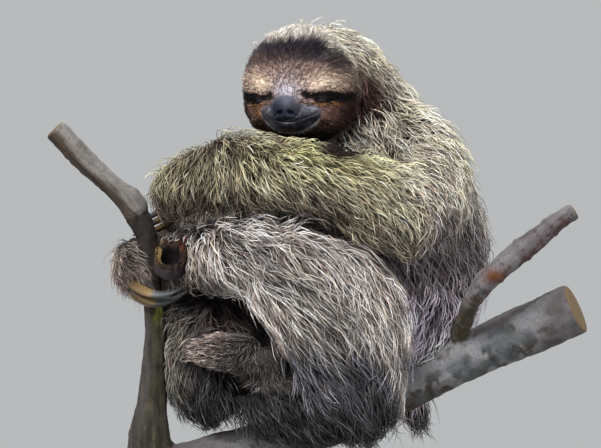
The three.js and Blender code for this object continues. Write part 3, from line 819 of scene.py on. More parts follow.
# the body's surface from the distance box, joined with the finer head into one closed skin
def makeSkin():
    points, quads = outline.surface(skinValues)
    triangles = facesOutward(points, np.concatenate((quads[:, [0, 1, 2]], quads[:, [0, 2, 3]])))
    body = makeMesh("sloth_skin", points, triangles, bareSkin)
    lump = makeMesh("head_skin", *headSkin(), bareSkin)
    join = body.modifiers.new("head", "BOOLEAN")
    join.operation, join.solver, join.object = "UNION", "MANIFOLD", lump
    joined = bpy.data.meshes.new_from_object(body.evaluated_get(bpy.context.evaluated_depsgraph_get()))
    body.modifiers.clear()
    bpy.data.objects.remove(lump)
    body.data = joined
    joined.polygons.foreach_set("use_smooth", np.full(len(joined.polygons), True))
    points, triangles = readMesh(joined)
    parts = ownersAt(points)
    tip, root, bare = markings(points, parts)
    # the face's short hair lets its own colours through from the skin; elsewhere the roots' colour shows,
    # darkened further as painted shade between the hairs
    under = np.where(belongs(parts, "head", "muzzle") & (toHead(points)[:, 2] > 4.0), 0.85, 0.0)
    giveColour(body, "skinColour", mix(root * 0.7, tip, np.maximum(bare, under)[:, None]))
    giveNumber(body, "bare", bare)
    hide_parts(*bodyNodes)
    print("skin", len(triangles), "triangles")
    return points, triangles


skinPoints, skinTriangles = makeSkin()


# the coat

stubShape = {"foot": vec(-115.0, -37.0, 260.0), "axis": unit(vec(0.1, -0.68, 0.72)), "radius": 14.0,
             "length": 28.0, "plugOver": 2.0}


# the stub counts as filled, so that no hair grows through its hollow
def plugStub():
    places = (np.arange(n) * hard.step for n in hard.shape)
    grid = np.stack(np.meshgrid(*places, indexing="ij"), -1) + hard.low
    away = grid - stubShape["foot"]
    along = np.clip(away @ stubShape["axis"], 0.0, stubShape["length"] + stubShape["plugOver"])
    gap = np.linalg.norm(away - along[..., None] * stubShape["axis"], axis=-1) - stubShape["radius"]
    hard.values = np.minimum(hard.values, gap.astype(np.float32))


plugStub()


# the lie of the hair: directions set at named places, blended by nearness, with a slow swirl
def combed(points, plan):
    places = np.array([c[:3] for c in plan["comb"]], float)
    ways = unit(np.array([c[3:6] for c in plan["comb"]], float))
    gap = ((points[:, None, :] - places[None]) ** 2).sum(-1)
    weight = np.exp(-(gap - gap.min(1, keepdims=True)) / (2.0 * plan["combReach"] ** 2))
    swirl = np.stack([softNoise(points, plan["swirlSize"], 70 + k) for k in range(3)], 1)
    return unit(unit(weight @ ways) + swirl * plan["swirl"])


# roots spread by area over the skin of the plan's parts, closer together where they show
def pickRoots(plan, count, random):
    middle = skinPoints[skinTriangles].mean(1)
    mine = belongs(ownersAt(middle), *plan["parts"]) & plan["keep"](middle)
    chosen = skinTriangles[mine]
    a, b, c = (skinPoints[chosen[:, k]] for k in range(3))
    cross = np.cross(b - a, c - a)
    area = np.linalg.norm(cross, axis=1) * 0.5
    normal = cross / np.maximum(area * 2.0, 1e-9)[:, None]
    centre = (a + b + c) / 3.0
    # covered: a place just outside the coat here is still inside another part's coat
    above = outline.sample(centre + normal * (8.0 - outline.sample(centre) * 1.3)[:, None])
    covered = ramp(-above, -4.0, 6.0)
    facing = ramp(-normal[:, 1], -0.3, 0.5)
    weight = area * mix(1.0, plan["showing"], facing) * mix(1.0, plan["underCover"], covered)
    total = np.cumsum(weight * plan["growing"](centre))
    at = (np.arange(count) + random.random(count)) / count * total[-1]
    face = np.minimum(np.searchsorted(total, at), len(total) - 1)
    r1, r2 = np.sqrt(random.random((count, 1))), random.random((count, 1))
    return (1 - r1) * a[face] + r1 * (1 - r2) * b[face] + r1 * r2 * c[face], normal[face]


# points moved out of the branches and claws, up to a limit, until they are clear by so much
def clearOfHard(points, clear, limit):
    return points + hard.slope(points) * np.clip(clear - hard.sample(points), 0.0, limit)[:, None]


# each lock's path: it climbs from the skin to its level in the coat, then follows the comb over it
def layGuides(plan, roots, normals, lengths, lifts, random):
    steps = plan["steps"]
    path = np.empty((len(roots), steps + 1, 3))
    path[:, 0] = p = roots
    start = outline.sample(p)
    stray = random.normal(0.0, plan["stray"], p.shape)
    flow = unit(combed(p, plan) + stray)
    way = unit(flow - (flow * normals).sum(1, keepdims=True) * normals + normals * plan["rootLift"])
    for k in range(1, steps + 1):
        t = k / steps
        up = outline.slope(p)
        flow = combed(p, plan) + stray
        flow[:, 2] -= plan["droop"] * t
        lean = (flow * up).sum(1, keepdims=True)
        along = unit(flow - np.where(lean > 0.0, lean * (1.0 - plan["free"]), lean) * up)
        way = unit(mix(way, along, plan["follow"]))
        p = p + way * (lengths / steps)[:, None]
        want = mix(start, lifts, ramp(np.full(len(p), t), 0.0, plan["climb"]))
        p = p + outline.slope(p) * np.clip(want - outline.sample(p), -plan["hug"], 6.0)[:, None]
        p = clearOfHard(p, 1.4, 8.0)
        path[:, k] = p
    return path


# the triangles of one three-sided strand: rings of three points, then the tip
def strandFaces(rings):
    faces = [(0, 2, 1)]
    for ring in range(rings):
        for k in range(3):
            a, b = ring * 3 + k, ring * 3 + (k + 1) % 3
            faces += [(a, b, rings * 3)] if ring == rings - 1 else [(a, b, b + 3), (a, b + 3, a + 3)]
    return np.array(faces)


# three-sided strands: a ring at each point but the last, which is the tip; paths is count by points by 3
def strandMesh(name, paths, radii, colours, roots, patches):
    count, points = paths.shape[:2]
    rings = points - 1
    tangent = unit(np.gradient(paths, axis=1))
    side = unit(np.cross(tangent, outline.slope(paths[:, 1])[:, None, :]))
    lift = np.cross(side, tangent)
    turn = (np.arange(3) * (2.0 * math.pi / 3.0) + math.pi / 2.0)[None, None, :, None]
    offset = side[:, :rings, None, :] * np.cos(turn) + lift[:, :rings, None, :] * np.sin(turn)
    ringPoints = paths[:, :rings, None, :] + offset * radii[:, :rings, None, None]
    each = rings * 3 + 1
    allPoints = np.concatenate((ringPoints.reshape(count, rings * 3, 3), paths[:, -1:, :]), axis=1)
    # turned outwards once, for every strand alike
    faces = facesOutward(allPoints[0], strandFaces(rings))
    allFaces = (faces[None] + (np.arange(count) * each)[:, None, None]).reshape(-1, 3)
    piece = makeMesh(name, allPoints.reshape(-1, 3), allFaces, furCoat)
    along = np.append(np.repeat(np.arange(rings) / rings, 3), 1.0)
    giveNumber(piece, "along", np.tile(along, count))
    giveColour(piece, "strandColour", np.repeat(colours, each, axis=0))
    giveColour(piece, "rootColour", np.repeat(roots, each, axis=0))
    # each strand's patch on the unwrap: round it one way, along it the other
    size = coatCommon["patchSize"]
    round3 = np.append(np.tile((0.0, 0.5, 1.0), rings), 0.5)
    uv = np.stack((patches[:, None, 0] + (round3 * size)[None],
                   patches[:, None, 1] + (along * size)[None]), -1)
    layer = piece.data.uv_layers.new(name="OFBake")
    layer.data.foreach_set("uv", uv.reshape(-1, 2)[allFaces.ravel()].astype(np.float32).ravel())
    return piece, len(allFaces)


# the skin's own unwrap: the angle round the part's axis across, the distance along it up
def unwrapAt(points, plan):
    start, end = vec(*plan["axis"][0]), vec(*plan["axis"][1])
    axis = unit(end - start)
    side = unit(np.cross(axis, (0.31, 0.87, 0.38)))
    away = points - start
    u = (np.arctan2(away @ np.cross(axis, side), away @ side) + math.pi) / (2.0 * math.pi)
    height = away @ axis
    v = (height - height.min()) / max(height.max() - height.min(), 1.0)
    return np.stack((u, v), 1) * 0.99 + 0.002


# how a strand's tone is changed: by its rank in the coat, a painted shade that darkens strands lying deep,
# and on pale, dusky and warm strands
toneLook = {"shadeOnTop": 1.08, "rankPower": 0.9, "paleGain": 1.25, "paleAdd": 0.06,
            "dusky": vec(0.56, 0.46, 0.46), "warmSpread": 0.05, "warm": vec(1.0, 0.1, -1.0),
            "range": (0.003, 0.92)}


# each strand's tone: painted shade, dark deep in the coat and full on top; some strands pale, more often on
# top, and some dusky, more often deep down
def strandTones(tone, rank, plan, random):
    count = len(tone)
    level = mix(plan["deep"], toneLook["shadeOnTop"], np.clip(rank, 0.0, 1.0) ** toneLook["rankPower"])
    shade = level * np.exp(random.normal(0.0, plan["shade"], count))
    pale = random.random(count) < plan["pale"] * (0.3 + rank)
    dusky = random.random(count) < plan["dusky"] * (1.3 - rank)
    tone = tone * shade[:, None]
    bright = tone * toneLook["paleGain"] + toneLook["paleAdd"] * ramp(tone.max(1), 0.02, 0.2)[:, None]
    tone = np.where(pale[:, None], bright, tone)
    tone = np.where(dusky[:, None], tone * toneLook["dusky"], tone)
    warm = random.normal(0.0, toneLook["warmSpread"], (count, 1)) * toneLook["warm"]
    return np.clip(tone * (1.0 + warm), *toneLook["range"])


# vectors with their part along the normals taken out
def flatten(vectors, normals):
    return vectors - (vectors * normals).sum(1, keepdims=True) * normals


# each lock's strands start round its root and draw together towards its tip, each with its own wave
def spreadStrands(plan, guides, normals, lengths, lock, t, random):
    count, steps = len(lock), plan["steps"]
    where = np.linspace(0.0, 1.0, len(t))[None] * random.uniform(0.7, 1.0, count)[:, None] * steps
    cell = np.minimum(where.astype(int), steps - 1)
    part = (where - cell)[..., None]
    base = guides[lock[:, None], cell] * (1.0 - part) + guides[lock[:, None], cell + 1] * part
    n = normals[lock]
    sideways = flatten(random.normal(0.0, plan["spread"], (count, 3)), n)
    leave = flatten(random.normal(0.0, plan["leave"], (count, 3)), n) * lengths[lock][:, None]
    wave = random.normal(0.0, plan["curl"], (count, 3))
    phase = random.uniform(0.0, 2.0 * math.pi, (count, 1))
    paths = (base + sideways[:, None, :] * (1.0 - plan["clump"] * t ** 0.8)[None, :, None]
             + leave[:, None, :] * (t ** 1.4)[None, :, None]
             + wave[:, None, :] * (np.sin(phase + t * plan["waves"]) * np.minimum(t * 3.0, 1.0))[..., None])
    paths[:, 0] -= n * plan["sink"]
    return clearOfHard(paths.reshape(-1, 3), 1.0, 6.0).reshape(paths.shape)


# one piece of the coat: locks rooted over its parts, each a few strands, coloured by place, with painted
# shade by level
def growCoat(name, ownPlan):
    plan = {**coatCommon, **ownPlan}
    random = np.random.default_rng(plan["seed"])
    perLock, points = plan["perLock"], plan["points"]
    locks = int(plan["strands"] * 1.0 / perLock)
    roots, normals = pickRoots(plan, locks, random)
    lengths = random.uniform(*plan["length"], locks) * plan["lengthAt"](roots)
    lowLift, highLift = plan["level"]
    lifts = random.random(locks) ** plan["levelBias"] * (highLift - lowLift) + lowLift
    proud = random.random(locks) < plan["proudShare"]
    lifts = np.where(proud, highLift + random.uniform(0.0, plan["proud"], locks), lifts)
    lifts = lifts - plan["lowerAt"](roots)
    guides = layGuides(plan, roots, normals, lengths, lifts, random)
    lock = np.repeat(np.arange(locks), perLock)
    t = np.linspace(0.0, 1.0, points)
    paths = spreadStrands(plan, guides, normals, lengths, lock, t, random)
    thick = plan["thick"] * random.uniform(0.7, 1.25, len(lock))
    taper = np.interp(t, *plan["taper"])
    parts = ownersAt(roots)[lock]
    tone = markings(paths[:, points // 2], parts)[0]
    root = markings(paths[:, 0], parts)[1]
    # rank: how high the lock lies in the coat, which sets its strands' painted shade
    rank = ((lifts - lowLift) / (highLift - lowLift))[lock] + random.normal(0.0, 0.10, len(lock))
    rank = rank + random.normal(0.0, plan["lockShade"], locks)[lock]
    colours = strandTones(tone, np.clip(rank, 0.0, 1.15), plan, random)
    thickness, unwrap = thick[:, None] * taper[None], unwrapAt(paths[:, 0], plan)
    piece, faces = strandMesh(name, paths, thickness, colours, root, unwrap)
    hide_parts(*plan["parts"])
    print("coat", name, len(lock), "strands", faces, "triangles")


# less hair on the nose, the lips and in the eyes' slits
def awayFromBare(points):
    bare = markings(points, ownersAt(points))[2]
    s, u, f = toHead(points).T
    slit = np.zeros(len(points))
    for way in (-1.0, 1.0):
        x, y = slitPlace(s, u, way)
        near = (1.0 - ramp(np.abs(x), 8.5, 10.0)) * (1.0 - ramp(np.abs(y), 1.2, 2.2))
        slit = np.maximum(slit, near * (f > 20.0))
    return (1.0 - ramp(bare, 0.45, 0.8)) * (1.0 - slit)


def isFace(points):
    s, u, f = toHead(points).T
    return (f > 8.0) & (u < 47.0) & (s < 47.0)


# a hill over places as seen from the front
def hillAt(points, *shape):
    return hill(points[:, 0], points[:, 2], *shape)


# the face's hair is short round the nose and longer away from it
def faceLength(points):
    return 0.62 + 1.5 * ramp(np.linalg.norm(toHead(points)[:, :2] - vec(0.0, -10.0), axis=1), 20.0, 52.0)


# the leg's hair is short at the foot's end
def legLength(points):
    whole = np.maximum(ramp(points[:, 0], -100.0, -55.0), 0.7 * ramp(-points[:, 2], -260.0, -250.0))
    return mix(0.45, 1.0, whole)


# short hair leaves the nose in all directions: back over the cheeks, up the brow and over the lids;
# places and directions are in the head's own frame
def faceComb():
    ways = np.array((
        (0, 14, 50, 0, 1, 0), (-10, 22, 45, -0.35, 1, 0), (10, 22, 45, 0.35, 1, 0),
        (0, 36, 38, 0.05, 1, -0.2), (-24, 30, 36, -0.5, 0.9, -0.2), (24, 31, 36, 0.8, 0.6, -0.2),
        (-30, 12, 40, -0.95, 0.25, -0.2), (24, 14, 42, 0.85, 0.45, -0.1), (38, 12, 34, 1, -0.15, -0.3),
        (-34, -3, 36, -1, -0.2, -0.3), (32, -5, 38, 1, -0.25, -0.3), (46, 0, 24, 0.8, -0.5, -0.5),
        (-38, -18, 32, -0.8, -0.6, -0.3), (36, -18, 34, 0.85, -0.55, -0.3), (48, -18, 20, 0.5, -0.8, -0.5),
        (-18, -32, 38, -0.4, -0.9, -0.2), (0, -36, 40, 0.05, -1, -0.1), (20, -32, 38, 0.5, -0.85, -0.2),
        (0, 50, 20, 0.1, 0.8, -0.6), (-48, 10, 14, -0.6, 0.2, -0.8), (46, 26, 16, 0.85, -0.3, -0.6),
    ), float)
    return np.concatenate((ways[:, :3] @ headAxes + head["centre"], ways[:, 3:] @ headAxes), axis=1)


coatCommon = {
    "keep": lambda p: np.full(len(p), True), "growing": lambda p: 1.0, "lengthAt": lambda p: 1.0,
    "lowerAt": lambda p: 0.0, "slot": "coat_grey", "free": 0.0,
    "perLock": 3, "points": 4, "steps": 9, "showing": 2.4, "levelBias": 1.7, "proudShare": 0.05,
    "proud": 3.0, "clump": 0.30, "curl": 0.95, "waves": 5.0, "leave": 0.15, "sink": 1.2, "rootLift": 0.7,
    "climb": 0.4, "hug": 1.4, "follow": 0.55, "stray": 0.21, "swirl": 0.30, "swirlSize": 26.0, "droop": 0.2,
    # deep: the tone of the lowest strands, a painted shade deep in the coat
    "combReach": 20.0, "deep": 0.30, "shade": 0.32, "lockShade": 0.10, "pale": 0.34, "dusky": 0.30,
    "underCover": 0.12,
    "taper": ((0.0, 0.3, 0.75, 1.0), (0.85, 1.0, 0.7, 0.0)), "patchSize": 0.003, "quickShare": 0.35,
}
headAxis = ((0.0, -46.0, 370.0), (0.0, -46.0, 480.0))
trunkAxis = ((60.0, 10.0, 120.0), (60.0, 10.0, 410.0))
# keep, growing, lengthAt and lowerAt take the roots' places; comb: places and the way the hair lies there
coatPlans = {
    "coat_face": {
        "parts": ("head", "muzzle"), "keep": isFace, "growing": awayFromBare, "slot": "coat_head",
        "seed": 11, "strands": 16500, "points": 3, "steps": 4, "length": (4.6, 8.4), "level": (-1.7, 0.2),
        "proudShare": 0.03, "proud": 1.0, "thick": 0.27, "spread": 0.6, "curl": 0.3, "leave": 0.10,
        "sink": 0.5, "rootLift": 0.32, "climb": 0.7, "hug": 0.8, "stray": 0.12, "swirl": 0.15, "droop": 0.0,
        "combReach": 9.0, "comb": faceComb(), "showing": 1.4, "deep": 0.62, "shade": 0.30, "lockShade": 0.14,
        "pale": 0.16, "dusky": 0.16, "axis": headAxis,
        "lengthAt": faceLength,
    },
    "coat_crown": {
        "parts": ("head", "muzzle"), "keep": lambda p: ~isFace(p), "slot": "coat_head", "seed": 12,
        "strands": 9000, "length": (14.0, 24.0), "level": (-6.5, -2.8), "proudShare": 0.015, "proud": 6.0,
        "thick": 0.32, "spread": 2.0, "deep": 0.46, "rootLift": 0.1, "droop": 0.5, "axis": headAxis,
        "stray": 0.18, "leave": 0.10, "swirl": 0.28,
        "comb": [
            (-6, -66, 478, 0.2, 0.95, 0.1), (-30, -60, 472, -0.2, 0.95, 0), (30, -60, 474, 0.8, 0.4, -0.25),
            (0, -20, 484, 0.2, 1, 0), (48, -50, 450, 0.7, 0.1, -0.7), (56, -50, 425, 0.6, 0.1, -0.8),
            (52, -60, 400, 0.45, 0.1, -0.9), (-50, -40, 440, -0.3, 0.6, -0.6),
            (-48, -40, 410, -0.2, 0.5, -0.8), (0, 0, 450, 0.1, 0.5, -0.85), (0, -60, 385, 0.1, 0.1, -1),
            (30, -70, 386, 0.6, 0.1, -0.8),
        ],
    },
    "coat_neck_shoulder": {
        "parts": ("neck", "left_upper_arm"), "slot": "coat_green", "seed": 13,
        "growing": lambda p: 1.0 - 0.95 * hillAt(p, 43.0, 394.0, 18.0, 20.0) * (p[:, 1] < -15.0),
        "strands": 8900, "points": 5, "length": (22.0, 38.0), "level": (-7.0, 0.6), "thick": 0.40,
        "spread": 3.0, "axis": ((20.0, -20.0, 440.0), (110.0, -40.0, 330.0)),
        "comb": [
            (50, -30, 470, 0.8, 0.2, -0.35), (66, -40, 455, 0.65, 0.1, -0.7),
            (80, -30, 430, 0.55, 0.1, -0.8), (62, -60, 420, 0.45, 0, -0.9), (64, -70, 395, 0.4, 0, -0.92),
            (88, -50, 405, 0.65, 0, -0.75), (112, -60, 380, 0.55, 0, -0.84),
            (128, -50, 345, 0.4, 0.1, -0.92), (84, -90, 360, 0.8, 0, -0.55),
            (100, -100, 330, 0.55, 0, -0.83), (132, -60, 310, 0.3, 0.1, -0.95),
            (80, 20, 420, 0.2, 0.9, -0.5), (30, 20, 430, -0.1, 0.9, -0.6), (60, -60, 375, 0.8, 0, -0.4),
            (120, 0, 380, 0.5, 0.5, -0.8),
        ],
    },
    "coat_left_forearm": {
        "parts": ("left_forearm", "left_hand"), "slot": "coat_green", "seed": 14,
        "lengthAt": lambda p: mix(1.0, 0.5, hillAt(p, 0.0, 380.0, 48.0, 14.0)),
        "lowerAt": lambda p: (8.0 * hillAt(p, -2.0, 386.0, 44.0, 14.0)
                              + 3.0 * hillAt(p, -90.0, 380.0, 40.0, 22.0)),
        "strands": 8900, "points": 5, "length": (18.0, 32.0), "level": (-7.0, 0.6), "thick": 0.38,
        "spread": 2.4, "combReach": 16.0, "axis": ((-120.0, -90.0, 345.0), (110.0, -95.0, 320.0)),
        "comb": [
            (-118, -60, 345, -0.35, 0.1, -0.95), (-100, -100, 350, -0.2, 0, -1),
            (-88, -100, 370, -0.3, 0, -0.9), (-60, -100, 335, -0.05, 0, -1),
            (-56, -110, 370, 0.15, 0, -0.95), (-35, -100, 382, 0.6, 0.1, -0.4),
            (-28, -120, 350, 0.5, 0, -0.85), (0, -110, 378, 0.85, 0, -0.4), (8, -125, 350, 0.68, 0, -0.72),
            (0, -115, 322, 0.55, 0, -0.83), (44, -115, 362, 0.88, 0, -0.45), (44, -125, 335, 0.72, 0, -0.68),
            (40, -115, 306, 0.6, 0, -0.8), (80, -110, 345, 0.8, 0, -0.55), (85, -115, 315, 0.65, 0, -0.75),
            (85, -105, 285, 0.5, 0.1, -0.85), (-90, -95, 322, -0.1, 0.2, -1),
            (112, -95, 310, 0.45, 0.2, -0.85), (-112, -50, 362, -0.3, 0, -0.8),
            (-92, -75, 376, 0.2, -0.1, -0.6), (-66, -88, 384, 0.8, -0.1, -0.1),
            (-40, -92, 386, 0.9, -0.1, -0.3), (-10, -95, 380, 0.95, -0.1, 0),
            (30, -95, 372, 0.95, -0.1, -0.2),
        ],
    },
    "coat_left_leg": {
        "parts": ("left_thigh", "left_shank"), "seed": 15,
        "strands": 8900, "points": 5, "length": (30.0, 54.0), "level": (-8.0, 0.6), "thick": 0.42,
        "spread": 3.2, "combReach": 18.0, "deep": 0.36, "shade": 0.34, "leave": 0.13,
        "axis": ((-100.0, -30.0, 280.0), (80.0, -70.0, 150.0)),
        "lengthAt": legLength,
        "comb": [
            (-88, -60, 306, 0.75, 0, -0.35), (-95, -60, 285, 0.5, 0, -0.7), (-96, -50, 265, 0.45, 0, -0.8),
            (-53, -105, 296, 0.92, 0, -0.38), (-60, -100, 270, 0.7, 0, -0.7),
            (-18, -115, 278, 0.78, 0, -0.62), (-30, -110, 248, 0.65, 0, -0.75),
            (12, -115, 240, 0.62, 0, -0.78), (-5, -110, 215, 0.58, 0, -0.8), (44, -110, 200, 0.52, 0, -0.85),
            (20, -105, 180, 0.5, 0, -0.87), (70, -90, 155, 0.3, 0, -0.95), (30, -95, 150, 0.35, 0, -0.93),
            (90, -80, 190, 0.2, 0, -0.97), (0, -60, 290, 0.8, 0.1, -0.4), (60, -100, 235, 0.4, 0, -0.9),
            (-98, -30, 249, -0.5, 0.1, -0.85), (-84, -45, 247, -0.25, 0, -0.97),
            (-70, -60, 246, 0.2, 0, -0.97), (-104, -30, 300, -0.7, -0.1, -0.6),
        ],
    },
    "coat_left_foot": {
        "parts": ("left_foot",), "seed": 20,
        "strands": 3600, "length": (15.0, 26.0), "level": (-3.0, 0.8),
        "lengthAt": lambda p: 1.0 + 0.7 * ramp(p[:, 0], -150.0, -141.0) * ramp(-p[:, 1], 20.0, 32.0),
        "proud": 2.0, "thick": 0.32, "spread": 1.6, "combReach": 9.0, "rootLift": 0.4, "droop": 0.0,
        "curl": 0.9, "deep": 0.45, "free": 0.9, "hug": 0.25, "follow": 0.7,
        "axis": ((-150.0, -30.0, 280.0), (-98.0, -12.0, 277.0)),
        "comb": [
            (-150, -20, 292, 0.5, -0.3, -0.8), (-158, -10, 265, 0, 0, -1), (-140, -35, 284, 0.9, -0.1, -0.4),
            (-138, -38, 272, 0.9, -0.1, -0.4), (-140, -38, 262, 0.8, -0.1, -0.6),
            (-120, 10, 280, -0.3, 0.3, -0.8), (-148, -35, 258, 0.4, -0.1, -0.9),
            (-128, -20, 262, 0.2, 0, -0.95), (-110, 0, 262, -0.2, 0.1, -0.9),
        ],
    },
    "coat_right_leg": {
        "parts": ("right_thigh", "right_shank", "belly", "tail"), "seed": 16,
        "strands": 9000, "length": (26.0, 46.0), "level": (-8.0, 0.6), "thick": 0.40,
        "spread": 3.0, "combReach": 15.0, "leave": 0.12,
        "axis": ((-110.0, 0.0, 200.0), (60.0, 0.0, 160.0)),
        "comb": [
            (-97, -50, 245, -0.45, 0, -0.9), (-112, -40, 210, -0.4, 0, -0.92),
            (-118, -20, 180, -0.25, 0, -0.97), (-108, -40, 160, 0.05, 0, -1), (-80, -60, 150, 0.3, 0, -0.95),
            (-50, -85, 240, 0.1, 0, -1), (-45, -90, 200, 0.25, 0, -0.97), (-44, -90, 160, 0.5, 0, -0.87),
            (0, -95, 128, 0.55, 0, -0.83), (-10, -90, 165, 0.5, 0, -0.87), (20, -80, 135, 0.5, 0, -0.85),
            (-75, -60, 225, -0.1, 0, -1), (0, 90, 200, -0.6, 0.1, -0.8), (-60, 80, 210, -0.7, 0, -0.7),
            (-110, 20, 210, -0.3, 0.2, -0.95), (100, 40, 150, 0.3, 0, -0.95),
        ],
    },
    "coat_right_foot": {
        "parts": ("right_foot",), "seed": 17,
        "strands": 3600, "length": (6.0, 9.5), "level": (-2.6, 0.2), "proudShare": 0.03, "proud": 1.2,
        "thick": 0.26, "spread": 1.3, "combReach": 9.0, "rootLift": 0.35, "hug": 1.5, "droop": 0.0,
        "curl": 0.3, "waves": 7.0, "deep": 0.5,
        "lengthAt": lambda p: 1.0 + 1.6 * ramp(p[:, 0], -60.0, -25.0),
        "axis": ((-100.0, -60.0, 194.0), (-10.0, -55.0, 180.0)),
        "comb": [
            (-95, -64, 192, -1, 0.1, -0.25), (-70, -70, 208, -1, 0, -0.2), (-70, -80, 195, -1, 0, -0.1),
            (-52, -75, 208, -0.8, 0, -0.3), (-40, -80, 192, 0, 0, -1), (-25, -80, 186, 0.5, 0, -0.85),
            (-10, -60, 180, 0.5, 0, -0.85), (-60, -60, 175, -0.9, 0.1, -0.3),
        ],
    },
    "coat_trunk_front": {
        "parts": ("trunk",), "keep": lambda p: p[:, 1] < 8.0, "seed": 18,
        "strands": 8900, "points": 5, "length": (28.0, 46.0), "level": (-8.0, 0.6), "thick": 0.44,
        "spread": 3.4, "combReach": 24.0, "axis": trunkAxis,
        "comb": [
            (100, -40, 400, 0.6, 0, -0.8), (140, -40, 350, 0.48, 0.05, -0.88),
            (155, -40, 300, 0.4, 0.1, -0.9), (120, -60, 320, 0.5, 0, -0.85), (100, -75, 280, 0.45, 0, -0.9),
            (150, -50, 255, 0.28, 0.05, -0.96), (60, -85, 270, 0.2, 0, -0.98), (20, -85, 280, 0.2, 0, -0.98),
            (88, -80, 240, 0.05, 0, -1), (125, -70, 225, 0, 0, -1), (155, -30, 215, -0.05, 0, -1),
            (100, -75, 190, -0.25, 0, -0.97), (120, -60, 170, -0.4, 0, -0.9),
            (-40, -50, 330, -0.3, 0, -0.95), (80, -60, 150, -0.2, 0, -0.98), (165, 0, 270, 0.15, 0.2, -0.97),
            (-50, 0, 260, -0.5, 0.2, -0.85),
        ],
    },
    "coat_trunk_back": {
        "parts": ("trunk", "right_upper_arm", "right_forearm", "right_hand"), "seed": 19,
        "keep": lambda p: (p[:, 1] >= 8.0) | ~belongs(ownersAt(p), "trunk"),
        "strands": 8600, "length": (34.0, 54.0), "level": (-8.0, 0.6), "thick": 0.66,
        "spread": 4.4, "combReach": 28.0, "showing": 1.0, "axis": trunkAxis,
        "comb": [
            (55, 60, 410, 0.1, 0.5, -0.85), (60, 90, 340, 0.05, 0.2, -0.98), (130, 60, 330, 0.3, 0.1, -0.95),
            (160, 30, 280, 0.2, 0.1, -0.98), (60, 95, 260, 0, 0, -1), (60, 80, 190, 0, -0.2, -0.98),
            (-20, 80, 300, -0.2, 0.2, -0.95), (-30, 100, 350, -0.5, 0.1, -0.8),
            (20, 100, 370, 0.2, 0.2, -0.9), (-90, 80, 320, -0.3, 0, -0.95), (-110, 40, 300, -0.3, 0, -0.9),
            (-60, 50, 355, -0.4, 0.3, -0.6), (140, 40, 210, -0.1, 0, -1), (110, 40, 160, -0.3, -0.1, -0.95),
        ],
    },
}

for coatName, coatPlan in coatPlans.items():
    growCoat(coatName, coatPlan)
print("coat grown")


# a closed piece of rings (rings by spokes by 3) with a point at each end; it stands in for CAD nodes
def ringedPiece(name, rings, ends, material, slot, *nodeNames):
    points = np.concatenate((rings.reshape(-1, 3), np.asarray(ends, float)))
    piece = makeMesh(name, points, facesOutward(points, closedFaces(*rings.shape[:2])), material)
    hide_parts(*nodeNames)
    return piece


# one value for each ring, spread over its spokes and the two end points
def perRing(values, spokes):
    return np.concatenate((np.repeat(values, spokes), (values[0], values[-1])))


# eyes

eyeLook = {"rings": 40, "spokes": 48, "inset": 0.3, "cornea": 0.35, "corneaSpread": 0.5, "outwards": 0.28,
           "downwards": 0.05, "roughness": 0.14, "specular": 0.4, "coat": 0.3, "coatRough": 0.05,
           "fleckScale": 1400.0, "dark": srgb(44, 24, 12), "light": srgb(92, 54, 24),
           "middle": srgb(8, 6, 6), "middleEdge": (0.30, 0.36)}


# dark brown ball with a black middle, wet all over
def eyeMaterial():
    look = Look("wet_eye", eyeLook, Coat_Weight=eyeLook["coat"], Coat_Roughness=eyeLook["coatRough"])
    fleck = look.noise(look.spot(), eyeLook["fleckScale"], 3.0)
    brown = look.ramp(fleck, [(0.3, eyeLook["dark"]), (0.7, eyeLook["light"])])
    inner, outer = eyeLook["middleEdge"]
    middle = look.ramp(look.attribute("fromMiddle", "Fac"), [(inner, 1.0), (outer, 0.0)])
    look.set(Base_Color=look.blend(middle, brown, eyeLook["middle"]))
    return look.material


# a ball of rings about the way it looks, with a low hill for the cornea
def makeEye(node, way, material):
    centre = vec(way * head["eyeSide"], head["eyeHeight"], head["eyeFace"]) @ headAxes + head["centre"]
    ahead = unit(vec(way * eyeLook["outwards"], -eyeLook["downwards"], 1.0)) @ headAxes
    acrossA = unit(np.cross(ahead, (0.0, 0.0, 1.0)))
    acrossB = np.cross(ahead, acrossA)
    angle, turn = np.linspace(0.0, math.pi, eyeLook["rings"] + 2)[1:-1], fullTurn(eyeLook["spokes"])
    cornea = eyeLook["cornea"] * np.exp(-(angle / eyeLook["corneaSpread"]) ** 2)
    reach = (head["eyeRadius"] - eyeLook["inset"] + cornea)[:, None, None]
    spread = np.cos(turn)[None, :, None] * acrossA + np.sin(turn)[None, :, None] * acrossB
    rings = centre + reach * (np.cos(angle)[:, None, None] * ahead + np.sin(angle)[:, None, None] * spread)
    ends = (centre + ahead * reach[0, 0], centre - ahead * reach[-1, 0])
    ball = ringedPiece("eyeball_" + node[4:], rings, ends, material, "eye", node)
    giveNumber(ball, "fromMiddle", perRing(angle / math.pi * 2.0, eyeLook["spokes"]))


wetEye = eyeMaterial()
makeEye("eye_left", 1.0, wetEye)
makeEye("eye_right", -1.0, wetEye)
print("eyes made")


# claws

clawShape = {"halfHeight": 5.4, "halfWidth": 3.0, "taper": 0.84, "power": 2.3, "rings": 48, "spokes": 28,
             "groove": 0.14, "lines": 0.05, "rootOver": 0.5, "tipOver": 0.6}
clawLook = {
    "roughness": 0.36, "specular": 0.45, "streakScale": 6.0, "bump": 0.5, "bumpDepth": 0.0006,
    "streakShare": 0.9,
    # ochre at the root, grey past the middle
    "horn": [(0.0, srgb(60, 44, 26)), (0.16, srgb(98, 78, 46)), (0.40, srgb(118, 96, 60)),
             (0.47, srgb(66, 70, 72)), (0.8, srgb(52, 57, 61)), (1.0, srgb(44, 42, 40))],
    "streaks": [(0.3, srgb(150, 142, 132)), (0.62, 1.12)],
}
